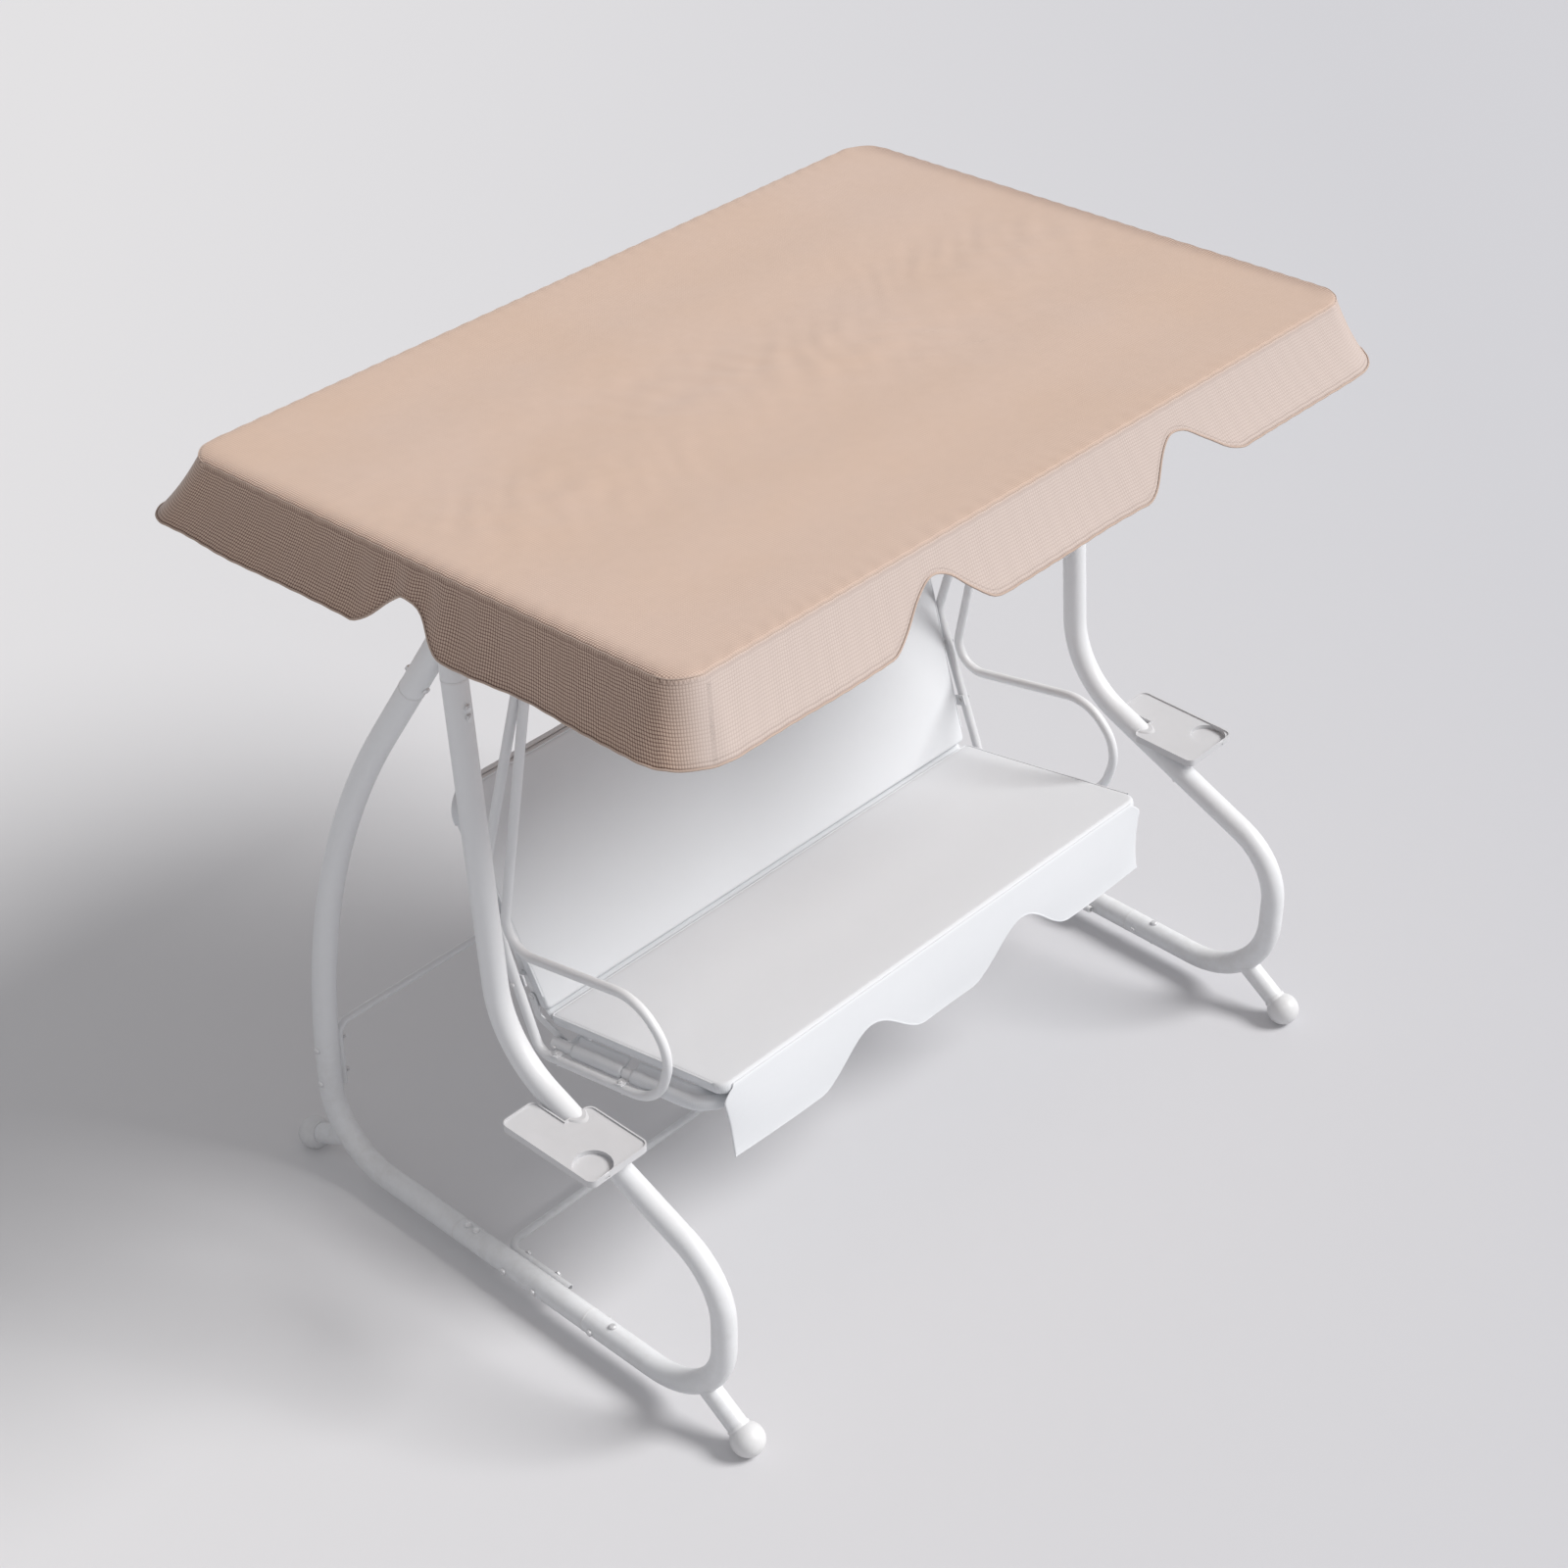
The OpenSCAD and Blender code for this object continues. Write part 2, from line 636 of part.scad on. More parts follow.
// Fitting at the top of a loop: a plug in each strand, a flat plate and the hinge eye
plug_in = 30;
plug_out = 12;
module hanger_fitting(side) {
    color(steel) on_side(side) side_plane(loop_x)
        difference() {
            union() {
                for (end = [[front_end, elbow], [rear_end, kink]]) {
                    strut(towards(end[0], end[1], plug_in), towards(end[0], end[1], -plug_out),
                          loop_d - 2 * loop_wall - 2 * spigot_gap);
                    strut(towards(end[0], end[1], -fit), towards(end[0], end[1], -plug_out), loop_d - fit);
                }
                translate([0, 0, -hanger_t / 2]) linear_extrude(hanger_t)
                    polygon([
                        hinge + [-eye_d * 0.4, 0], hinge + [eye_d * 0.4, 0],
                        rear_end + [loop_d * 0.3, plug_out / 2], front_end + [-loop_d * 0.3, plug_out / 2]]);
                translate([hinge[0], hinge[1], -eye_w / 2]) cylinder(d = eye_d, h = eye_w);
            }
            translate([hinge[0], hinge[1], -eye_w]) cylinder(d = hinge_d + 2 * hinge_gap, h = 2 * eye_w);
        }
}

loop_bolt_d = 6;
tab_fars = [50, 235]; // tabs, forward of the seat's back edge
bracket_fars = [90, 225]; // brackets, up from the back's lower edge

// A bar square to the seat, in the side plane, from one height to another over the seat's face
module seat_strut(far, low, high, d) {
    foot = seat_back + seat_dir * far;
    strut(foot + seat_up * low, foot + seat_up * high, d);
}

// Frames of the seat (local y forwards is negative) and of the back (local z up the back)
module at_seat() { translate([0, seat_y, seat_h]) rotate([-seat_rise, 0, 0]) children(); }
module at_back() { translate([0, back_foot[0], back_foot[1]]) rotate([-back_lean, 0, 0]) children(); }

sleeve_t = 1.5;
sleeve_out = rail_d / 2 + touch + sleeve_t;
rail_x = loop_x - loop_d / 2 - sleeve_out - 1.2; // the wrapped side rails lie just inside the loops
rail_front = seat_d - rail_d / 2 - 8;
seat_corner_r = 70;
rail_start = -20; // the side rails start this far in front of the seat's back edge

module seat_hoop() {
    color(steel) at_seat() translate([0, 0, -rail_drop])
        difference() {
            bent_tube([[-rail_x, rail_start], [-rail_x, -rail_front], [rail_x, -rail_front], [rail_x, rail_start]],
                      [0, seat_corner_r, seat_corner_r, 0], rail_d, loop_wall);
            both_sides() translate([rail_x, rail_start - hoop_hole_set, 0]) rotate([0, 90, 0])
                cylinder(d = loop_bolt_d + 2 * bolt_gap, h = 2 * rail_d, center = true);
        }
}

module coped_rail(reach, d) {
    difference() {
        rotate([0, 90, 0]) cylinder(d = d, h = 2 * reach, center = true);
        rotate([0, 90, 0]) cylinder(d = d - 2 * loop_wall, h = 2 * reach + 2, center = true);
        both_sides() translate([reach, 0, 0]) children();
    }
}

rear_rail_y = -60;
module seat_rear_rail() {
    color(steel) at_seat() translate([0, rear_rail_y, -rail_drop])
        coped_rail(rail_x, rail_d - 4)
            rotate([90, 0, 0]) cylinder(d = rail_d + 2 * fit, h = 4 * rail_d, center = true);
}

stretcher_d = 16;
module seat_stretchers() {
    low = rear_rail_y;
    color(steel) at_seat() for (x = [-seat_w / 6, seat_w / 6]) translate([x, 0, -rail_drop])
        difference() {
            rotate([90, 0, 0]) translate([0, 0, -low]) cylinder(d = stretcher_d, h = rail_front + low);
            rotate([90, 0, 0]) translate([0, 0, -low - 1])
                cylinder(d = stretcher_d - 2 * loop_wall, h = rail_front + low + 2);
            translate([0, low, 0]) rotate([0, 90, 0])
                cylinder(d = rail_d - 4 + 2 * fit, h = 4 * stretcher_d, center = true);
            translate([0, -rail_front, 0]) rotate([0, 90, 0])
                cylinder(d = rail_d + 2 * fit, h = 4 * stretcher_d, center = true);
        }
}

// Flat tabs on the outer side of the seat's rails, over the loops' lower runs
tab_len = 20;
tab_top = -run_drop + loop_d / 2 + fit + tab_t;
module seat_tabs() {
    tab_out = loop_x + loop_d / 2 - 2;
    color(steel) at_seat() both_sides() for (far = tab_fars)
        difference() {
            translate([rail_x, -far - tab_len / 2, tab_top - tab_t]) cube([tab_out - rail_x, tab_len, tab_t]);
            translate([rail_x, -far, -rail_drop]) rotate([90, 0, 0])
                cylinder(d = rail_d + 2 * fit, h = 2 * tab_len, center = true);
            translate([loop_x, -far, tab_top]) cylinder(d = loop_bolt_d + 2 * bolt_gap, h = 3 * tab_t, center = true);
        }
}

module loop_bolts() {
    color(plated) at_seat() both_sides() for (far = tab_fars)
        translate([loop_x, -far, tab_top]) rotate([180, 0, 0])
            bolt(tab_top + run_drop + loop_d / 2, loop_bolt_d);
}

// ---- back ----
function back_half(far) = width_at(far / back_len, seat_w, back_top_w) / 2;
back_slant = atan((back_top_w - seat_w) / 2 / back_len);
back_rail_d = rail_d - 4;
back_rail_in = back_rail_d / 2 + 5; // from the fabric's edge to the rail's middle
back_rail_out = pad_t + touch + back_rail_d / 2;
back_corner_r = 60;
back_hole_far = 34; // from the back's lower edge up to the bolt that ties it to the seat

module back_hoop() {
    low = 12;
    top = back_len - back_rail_in;
    color(steel) at_back() translate([0, back_rail_out, 0]) difference() {
        rotate([90, 0, 0])
            bent_tube([[-back_half(low) + back_rail_in, low], [-back_half(top) + back_rail_in, top],
                       [back_half(top) - back_rail_in, top], [back_half(low) - back_rail_in, low]],
                      [0, back_corner_r, back_corner_r, 0], back_rail_d, loop_wall);
        translate([0, 0, back_hole_far]) rotate([0, 90, 0])
            cylinder(d = loop_bolt_d + 2 * bolt_gap, h = 2 * back_top_w, center = true);
    }
}

back_low_far = 50;
module back_lower_rail() {
    color(steel) at_back() translate([0, back_rail_out, back_low_far])
        coped_rail(back_half(back_low_far) - back_rail_in, back_rail_d - 2)
            rotate([0, back_slant, 0]) cylinder(d = back_rail_d + 2 * fit, h = 4 * back_rail_d, center = true);
}

// Plates between the loops' rear strands and the rails of the back
bracket_w = 24;
module back_brackets() {
    bracket_x = loop_x - loop_d / 2 - tab_t - fit;
    color(steel) at_back() both_sides() for (far = bracket_fars)
        difference() {
            union() {
                translate([bracket_x, strand_set - bracket_w / 2, far - bracket_w / 2])
                    cube([tab_t, back_rail_out - strand_set + bracket_w / 2 + back_rail_d / 2, bracket_w]);
                translate([back_half(far) - back_rail_in, back_rail_out, far]) rotate([0, 90, 0])
                    cylinder(d = 14, h = bracket_x + 1 - back_half(far) + back_rail_in);
            }
            translate([back_half(far) - back_rail_in, back_rail_out, far]) rotate([0, back_slant, 0])
                cylinder(d = back_rail_d + 2 * fit, h = 4 * back_rail_d, center = true);
            translate([bracket_x, strand_set, far]) rotate([0, 90, 0])
                cylinder(d = loop_bolt_d + 2 * bolt_gap, h = 4 * tab_t, center = true);
        }
}

module back_bolts() {
    inner = loop_x - loop_d / 2 - tab_t - fit;
    color(plated) at_back() both_sides() for (far = bracket_fars)
        translate([inner, strand_set, far]) rotate([0, 90, 0]) bolt(loop_x + loop_d / 2 - inner, loop_bolt_d);
}

// Plates that tie the seat's side rails to the rails of the back
plate_t = 3;
plate_r = back_rail_d / 2 - 1;
hoop_hole_set = 12; // from the end of a seat rail to its bolt
plate_x = rail_x - rail_d / 2 - fit - plate_t;
plate_low = seat_back + seat_dir * (hoop_hole_set - rail_start) - seat_up * rail_drop;
plate_high = back_foot + back_dir * back_hole_far + back_out * back_rail_out;
plate_bend = back_foot - back_dir * plate_r + back_out * back_rail_out;
module corner_plates() {
    color(steel) both_sides() difference() {
        side_plane(plate_x) linear_extrude(plate_t) for (end = [plate_low, plate_high]) hull() {
            translate(plate_bend) circle(r = plate_r);
            translate(end) circle(r = plate_r);
        }
        side_plane(plate_x - 1) for (p = [plate_low, plate_high])
            translate(p) cylinder(d = loop_bolt_d + 2 * bolt_gap, h = plate_t + 2);
    }
}

module corner_bolts() {
    back_inner = back_half(back_hole_far) - back_rail_in - back_rail_d / 2 - 1;
    color(plated) both_sides() {
        side_plane(plate_x) translate(plate_low) bolt(plate_t + fit + rail_d, loop_bolt_d);
        side_plane(back_inner) translate(plate_high) bolt(plate_x + plate_t - back_inner, loop_bolt_d);
    }
}

// ---- fabric of the seat and back ----
edge_r = 8;
module round_slab(x, y, t, r) {
    linear_extrude(t) {
        square([2 * x - 2 * r, y], center = true);
        square([2 * x, y - 2 * r], center = true);
        for (sx = [-1, 1], sy = [-1, 1]) translate([sx * (x - r), sy * (y / 2 - r)]) circle(r = r);
    }
}

module seat_sling() {
    // its back edge stops short of the back's fabric
    gap = pad_t * tan(back_lean + seat_rise) * 0.2 + touch;
    color(cloth) at_seat()
        translate([0, -(seat_d + gap) / 2, -pad_t])
            round_slab(seat_w / 2, seat_d - gap, pad_t, edge_r);
}

module back_sling() {
    low = 6;
    r = back_corner_r + back_rail_in;
    straight = back_len - r;
    color(cloth) at_back() translate([0, pad_t, 0]) rotate([90, 0, 0]) linear_extrude(pad_t) {
        polygon([[-back_half(low), low], [back_half(low), low],
                 [back_half(straight), straight], [-back_half(straight), straight]]);
        for (side = [-1, 1]) translate([side * (back_half(straight) - r), straight]) circle(r = r);
        translate([-back_half(straight) + r, straight - 1]) square([2 * back_half(straight) - 2 * r, r + 1]);
    }
}

// Scalloped hem as an outline: it hangs from z = 0 and its lower edge is a row of waves
function wave(x, c, half, h) = abs(x - c) < half ? h * (1 + cos(180 * (x - c) / half)) / 2 : 0;
module hem_outline(half, drop, centres, wave_half, h, steps = 24) {
    low = [for (c = centres, i = [-steps / 2 : steps / 2])
        let (x = c + i * 2 * wave_half / steps) [x, -drop + wave(x, c, wave_half, h)]];
    polygon(concat([[half, 0], [-half, 0], [-half, -drop]], low, [[half, -drop]]));
}

// Sleeves along the seat's sides: each wraps a stretch of rail and ends in a lip under the seat
sleeve_spans = [[80, 222], [248, 380]];
module seat_sleeves() {
    lip = [seat_w / 2 - 3, -pad_t - touch - sleeve_t / 2];
    crest = [rail_x, -rail_drop] + slope_dir(115) * (sleeve_out - sleeve_t / 2);
    color(cloth) at_seat() both_sides() for (span = sleeve_spans)
        translate([0, -span[0], 0]) rotate([90, 0, 0]) linear_extrude(span[1] - span[0])
            difference() {
                union() {
                    translate([rail_x, -rail_drop]) circle(r = sleeve_out);
                    translate(lip) rotate(heading(lip, crest)) translate([0, -sleeve_t / 2])
                        square([norm(crest - lip), sleeve_t]);
                }
                translate([rail_x, -rail_drop]) circle(d = rail_d + 2 * touch);
            }
}

valance_t = 4;
valance_lean = -7; // its hem lies this far forward, in degrees
valance_x = seat_w / 2 - 5;
scallop_x = 230;
scallop_half = 160;
module seat_valance() {
    top = seat_front - seat_up * pad_t;
    color(cloth) translate([0, top[0], top[1] - 2 * touch]) rotate([valance_lean, 0, 0]) rotate([90, 0, 0])
        linear_extrude(valance_t, center = true)
            hem_outline(valance_x, valance_drop, [-scallop_x, scallop_x], scallop_half, scallop_h);
}

// ---- trays ----
tray_back = tray_front + tray_len;
tray_out = frame_x - tray_in + tray_w;
tray_neck_in = frame_x + tube_d / 2 + 3;
tray_step_y = tray_front + 0.65 * tray_len;
tray_top = arm_h(tray_front + 0.864 * tray_len);
tray_corner_r = 16;
cup_at = [tray_out - 40, tray_front + 38];

module round_rect(x0, y0, x1, y1, r) {
    translate([x0 + r, y0]) square([x1 - x0 - 2 * r, y1 - y0]);
    translate([x0, y0 + r]) square([x1 - x0, y1 - y0 - 2 * r]);
    for (x = [x0 + r, x1 - r], y = [y0 + r, y1 - r]) translate([x, y]) circle(r = r);
}

module tray_outline(inset) {
    round_rect(tray_out - tray_w + inset, tray_front + inset, tray_out - inset, tray_step_y - inset,
               tray_corner_r - inset);
    round_rect(tray_neck_in + inset, tray_front + inset, tray_out - inset, tray_back - inset,
               tray_corner_r - inset);
}

// The arm of the front tube as a bar, for what hugs it
module arm_bar(d) { side_plane(frame_x) strut(front_top, knee, d); }

module cup_tray(side) {
    color(plastic) on_side(side) difference() {
        union() {
            translate([0, 0, tray_top - tray_t]) linear_extrude(tray_t) tray_outline(0);
            translate([frame_x, tray_screw_y, arm_h(tray_screw_y)])
                cylinder(d = 20, h = tray_top - tray_t / 2 - arm_h(tray_screw_y));
        }
        difference() {
            translate([0, 0, tray_top - rim_h]) linear_extrude(rim_h + 1) tray_outline(rim_w);
            arm_bar(tube_d + 2 + 2 * rim_w);
        }
        translate([cup_at[0], cup_at[1], tray_top - rim_h - cup_depth]) cylinder(d = cup_d, h = tray_t);
        arm_bar(tube_d + 2 * touch);
        translate([frame_x, tray_screw_y, 0]) cylinder(d = tray_screw_d + 2 * fit, h = tray_top - rim_h - 3);
    }
}

module tray_screws() {
    low = arm_h(tray_screw_y) - tube_d / 2 / cos(arm_slope);
    color(plated) both_sides() translate([frame_x, tray_screw_y, low]) {
        cylinder(d = tray_screw_d, h = tray_top - rim_h - 4 - low);
        translate([0, 0, -10]) cylinder(d = tray_screw_d * 2, h = 5);
        translate([0, 0, -6]) cylinder(d = tray_screw_d, h = 7);
    }
}

// ---- canopy ----
post_top = roof_rise - 14; // over the apex
pivot_h = apex_h + roof_rise - 28;
post_bolt_d = 8;
rail_wall = 1.2;

module canopy_post(side) {
    color(steel) on_side(side) difference() {
        translate([frame_x, apex_y, apex_h + tube_d / 2 + fit])
            cylinder(d = post_d, h = post_top - tube_d / 2 - fit);
        translate([frame_x, apex_y, apex_h]) cylinder(d = post_d - 2 * tube_wall, h = post_top + 1);
        translate([frame_x, apex_y, pivot_h]) rotate([0, 90, 0])
            cylinder(d = post_bolt_d + 2 * hinge_gap, h = 2 * post_d, center = true);
    }
}

// Frame of the roof: origin on the tilt axis, local -y forwards, tilted with its front edge up
module at_roof() { translate([0, apex_y, pivot_h]) rotate([-roof_tilt, 0, 0]) children(); }
roof_top = (apex_h + roof_rise - pivot_h) * cos(roof_tilt);
roof_y = 5; // middle of the roof, behind the tilt axis
bow_z = roof_top - fabric_t - touch - roof_rail_d / 2;
bow_x = roof_w / 2 - fabric_t - roof_rail_d / 2 - 3;
bow_front = roof_y - roof_d / 2 + fabric_t + roof_rail_d / 2 + 3;
bow_rear = roof_y + roof_d / 2 - fabric_t - roof_rail_d / 2 - 3;
roof_corner_r = 70;
pivot_plate_t = 4;
pivot_plate_half = 60;
pivot_x = frame_x + post_d / 2 + touch; // inner face of the pivot plate

module canopy_front_bow() {
    color(steel) at_roof() translate([0, 0, bow_z])
        bent_tube([[-bow_x, -fit], [-bow_x, bow_front], [bow_x, bow_front], [bow_x, -fit]],
                  [0, roof_corner_r, roof_corner_r, 0], roof_rail_d, rail_wall);
}

module canopy_rear_bow() {
    color(steel) at_roof() translate([0, 0, bow_z])
        bent_tube([[-bow_x, fit], [-bow_x, bow_rear], [bow_x, bow_rear], [bow_x, fit]],
                  [0, roof_corner_r, roof_corner_r, 0], roof_rail_d, rail_wall);
}

// Bar across the middle of the roof, from one side rail to the other
module canopy_ridge_bar() {
    color(steel) at_roof() for (y = [bow_front / 2, bow_rear / 2]) translate([0, y, bow_z])
        coped_rail(bow_x, roof_rail_d - 4)
            rotate([90, 0, 0]) cylinder(d = roof_rail_d + 2 * fit, h = 4 * roof_rail_d, center = true);
}

module canopy_pivot_plates() {
    lug_h = 22;
    color(steel) at_roof() both_sides() difference() {
        union() {
            translate([pivot_x, -pivot_plate_half, -14]) cube([pivot_plate_t, 2 * pivot_plate_half, lug_h + 4]);
            translate([pivot_x, -pivot_plate_half, bow_z - roof_rail_d / 2 - pivot_plate_t - fit])
                cube([bow_x - pivot_x + roof_rail_d / 3, 2 * pivot_plate_half, pivot_plate_t]);
        }
        rotate([0, 90, 0]) cylinder(d = post_bolt_d + 2 * fit, h = 2 * frame_x);
        translate([pivot_x + pivot_plate_t, 0, 0]) rotate([0, 90, 0]) cylinder(d = tilt_head_d + 2, h = bow_x);
    }
}

tilt_head = 5;
knob_grip = 12; // how far the bolt reaches into the knob
tilt_head_d = 1.9 * post_bolt_d;
module tilt_bolts() {
    inner = frame_x - post_d / 2;
    color(plated) both_sides() translate([0, apex_y, pivot_h]) rotate([0, 90, 0]) {
        translate([0, 0, inner - knob_grip])
            cylinder(d = post_bolt_d, h = pivot_x + pivot_plate_t - inner + knob_grip + tilt_head);
        translate([0, 0, pivot_x + pivot_plate_t + fit]) cylinder(d = tilt_head_d, h = tilt_head - fit);
    }
}

// Hand knob with four lobes on the inner end of the tilt bolt
knob_w = 18;
module tilt_knob(side) {
    inner = frame_x - post_d / 2 - touch;
    color([0.25, 0.25, 0.26]) on_side(side) translate([inner - knob_w, apex_y, pivot_h]) rotate([0, 90, 0])
        difference() {
            union() {
                cylinder(d = 26, h = knob_w);
                for (a = [45 : 90 : 315]) rotate([0, 0, a]) translate([11, 0, 0]) cylinder(d = 14, h = knob_w * 0.7);
            }
            translate([0, 0, 5]) cylinder(d = post_bolt_d + 2 * hinge_gap, h = knob_w);
        }
}

// Outline of the roof at a height under its top, spread by the skirts' flare
module roof_outline(spread, inset) {
    hull() for (sx = [-1, 1], sy = [-1, 1]) {
        flare_y = sy < 0 ? front_flare : rear_flare;
        translate([
            sx * (roof_w / 2 + side_flare * spread - inset - roof_corner_r),
            roof_y + sy * (roof_d / 2 + flare_y * spread - inset - roof_corner_r), 0])
            cylinder(r = roof_corner_r, h = 0.01, $fn = 32);
    }
}

module roof_solid(inset, top, low) {
    hull() {
        translate([0, 0, top - 0.01]) roof_outline(0, inset);
        translate([0, 0, low]) roof_outline((roof_top - low) / skirt_drop, inset);
    }
}

front_scallop_x = 327;
front_scallop_half = 138;
side_scallop_half = 105;
module canopy_fabric() {
    hem_low = roof_top - skirt_drop;
    color(beige) at_roof() difference() {
        roof_solid(0, roof_top, hem_low);
        roof_solid(fabric_t, roof_top - fabric_t, hem_low - 1);
        translate([0, roof_y, hem_low - 1]) rotate([90, 0, 0])
            linear_extrude(2 * roof_d, center = true) for (c = [-front_scallop_x, front_scallop_x])
                scallop(c, front_scallop_half, skirt_scallop + 1);
        translate([0, roof_y, hem_low - 1]) rotate([90, 0, 90])
            linear_extrude(2 * roof_w, center = true) scallop(0, side_scallop_half, skirt_scallop - 8 + 1);
    }
}

module scallop(c, half, h, steps = 24) {
    polygon([for (i = [-steps / 2 : steps / 2])
        let (x = c + i * 2 * half / steps) [x, wave(x, c, half, h)]]);
}

top_joint(-1);  // top_joint_left
top_joint(1);  // top_joint_right
front_tube(-1);  // front_tube_left
front_tube(1);  // front_tube_right
rear_leg(-1);  // rear_leg_left
rear_leg(1);  // rear_leg_right
base_tube(-1);  // base_tube_left
base_tube(1);  // base_tube_right
joint_rings();
ball_feet();
rear_cross_bar();
front_cross_bar();
top_beam();
frame_bolts();
cross_bar_bolts();
hinge_brackets();
hinge_bolts();
cup_tray(-1);  // cup_tray_left
cup_tray(1);  // cup_tray_right
tray_screws();
canopy_post(-1);  // canopy_post_left
canopy_post(1);  // canopy_post_right
hanger_loop(-1);  // hanger_loop_left
hanger_loop(1);  // hanger_loop_right
hanger_fitting(-1);  // hanger_fitting_left
hanger_fitting(1);  // hanger_fitting_right
seat_hoop();
seat_rear_rail();
seat_stretchers();
seat_tabs();
loop_bolts();
back_hoop();
back_lower_rail();
back_brackets();
back_bolts();
corner_plates();
corner_bolts();
seat_sling();
seat_sleeves();
back_sling();
seat_valance();
canopy_front_bow();
canopy_rear_bow();
canopy_ridge_bar();
canopy_pivot_plates();
tilt_bolts();
tilt_knob(-1);  // tilt_knob_left
tilt_knob(1);  // tilt_knob_right
canopy_fabric();
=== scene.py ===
"""Looks of a garden swing seat: powder-coated tube frame, padded seat and back, woven canopy.

Metres, in the frame of the construction: x across, -y to the front, z up, the floor at z = 0.
"""

import json
import math

import bmesh
import bpy
import numpy as np
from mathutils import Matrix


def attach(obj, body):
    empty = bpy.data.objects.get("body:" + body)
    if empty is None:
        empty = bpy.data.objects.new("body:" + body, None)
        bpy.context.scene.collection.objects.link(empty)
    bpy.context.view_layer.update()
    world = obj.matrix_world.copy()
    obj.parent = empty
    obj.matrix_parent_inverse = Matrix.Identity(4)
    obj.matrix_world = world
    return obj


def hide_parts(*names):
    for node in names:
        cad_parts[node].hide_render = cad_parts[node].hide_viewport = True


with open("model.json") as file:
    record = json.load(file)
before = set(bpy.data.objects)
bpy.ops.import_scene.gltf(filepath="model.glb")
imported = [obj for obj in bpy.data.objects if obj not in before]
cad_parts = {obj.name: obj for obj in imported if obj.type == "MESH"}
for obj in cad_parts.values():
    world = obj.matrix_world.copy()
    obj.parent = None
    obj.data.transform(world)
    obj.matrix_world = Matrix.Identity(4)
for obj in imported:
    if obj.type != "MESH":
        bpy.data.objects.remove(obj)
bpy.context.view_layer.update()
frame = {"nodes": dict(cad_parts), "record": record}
nodes = frame["nodes"]

# ---- canopy: sizes as the construction has them ----
ROOF_PIVOT = (0.0, 0.013, 1.674)
ROOF_TILT = math.radians(3)
ROOF_TOP = 0.02796  # height of the cloth over the tilt axis
ROOF_Y = 0.005
ROOF_HALF = (0.920, 0.6295)
ROOF_CORNER = 0.070
ROOF_ROLL = 0.011  # radius of the turn from the top into the skirt
SKIRT_DROP = 0.131
SKIRT_ROUNDING = 0.042  # how much rounder the front corners are at the hem
SIDE_FLARE, FRONT_FLARE, REAR_FLARE = 0.055, 0.066, 0.079
NOTCH_X, NOTCH_HALF, NOTCH_H = 0.327, 0.138, 0.078
SIDE_NOTCH_HALF, SIDE_NOTCH_H = 0.105, 0.070
CLOTH_T = 0.0022

# ---- canopy: how the cloth lies ----
TOP_RINGS, ROLL_ROWS, SKIRT_ROWS = 44, 5, 19
BAY, SAG = 0.307, 0.0030  # between the rails and bars
CRUMPLE, CRUMPLE_BAND = 0.00155, 0.20  # along the middle
PUCKER, PUCKER_WAVES, PUCKER_BAND = 0.0007, 150, 0.035  # along the edges
GATHER, GATHER_PITCH, GATHER_BAND = 0.0052, 0.088, 0.135  # over the side scallops
RIPPLE = 0.0042
RIPPLES = ((5, 0.7, 0.4), (9, 0.5, 2.1), (14, 0.6, 4.0), (23, 0.35, 1.2), (31, 0.2, 5.2))
# how far the weave's gaps are darkened with painted shade: on top, on the skirts in front and rear, on the
# skirts at the sides
GAP_SHADE_TOP, GAP_SHADE_ENDS, GAP_SHADE_SIDES = 0.10, 0.20, 1.0
GAP_SHADE_BAND = 0.022
CORD, CORD_PROUD = 0.0012, 0.0002
HEM_TAPE, HEM_TAPE_SHIFT = (0.0020, 0.0014), (0.0016, -0.0011)

# ---- seat and back: sizes as the construction has them ----
SEAM_GAP = 0.003
SEAT_BACK = (0.0, 0.062, 0.508)
SEAT_RISE = math.radians(11)
SEAT_HALF_W, SEAT_D, PAD_T = 0.633, 0.479, 0.025
SEAT_SPAN = SEAT_D + SEAM_GAP
SEAT_CORNERS = (0.026, 0.010)  # front and rear
BACK_FOOT = (0.0, 0.0624, 0.510)
BACK_LEAN = math.radians(22)
BACK_LEN, BACK_TOP_HALF = 0.500, 0.680
BACK_CORNERS = (0.010, 0.075)  # bottom and top
RAIL_X, RAIL_DROP, RAIL_FRONT, RAIL_CORNER = 0.649, 0.050, 0.458, 0.070
BACK_RAIL_IN, BACK_RAIL_DEPTH = 0.0165, 0.0373

# ---- seat and back: how the cloth lies ----
PAD_CROWN, PAD_WAIST, PAD_CREASE = 0.0035, 0.0020, 0.0005
PAD_ROUNDING = 0.62  # reach of the round edge, as a share of half the thickness
# distances of the rings from the edge, as shares of half the pad's depth
PAD_RINGS = (1, 0.93, 0.86, 0.78, 0.7, 0.62, 0.54, 0.46, 0.39, 0.32, 0.26, 0.21, 0.17, 0.135, 0.11, 0.09,
             0.075, 0.062, 0.05)
PIPING, PIPING_IN, PIPING_DOWN = 0.0024, 0.0012, 0.0022
PIPING_OPEN = 0.024  # the front edge that it leaves out
SEAT_CLOTH_T = 0.0014
SLEEVE_R, SLEEVE_ARC, SLEEVE_STEP = 0.0146, (112, -128), 0.006
SLEEVE_SPANS = (("rear", 0.080, 0.222), ("front", 0.248, 0.640))  # before and behind the bolted tab
BACK_ROLL_R, BACK_ROLL_ARC = 0.0138, (14, -120)
VALLEY, VALLEY_RUN, VALLEY_END = 0.0028, 0.018, 0.9  # between a pad and the rail behind it
WRAP_RIPPLE = 0.0004
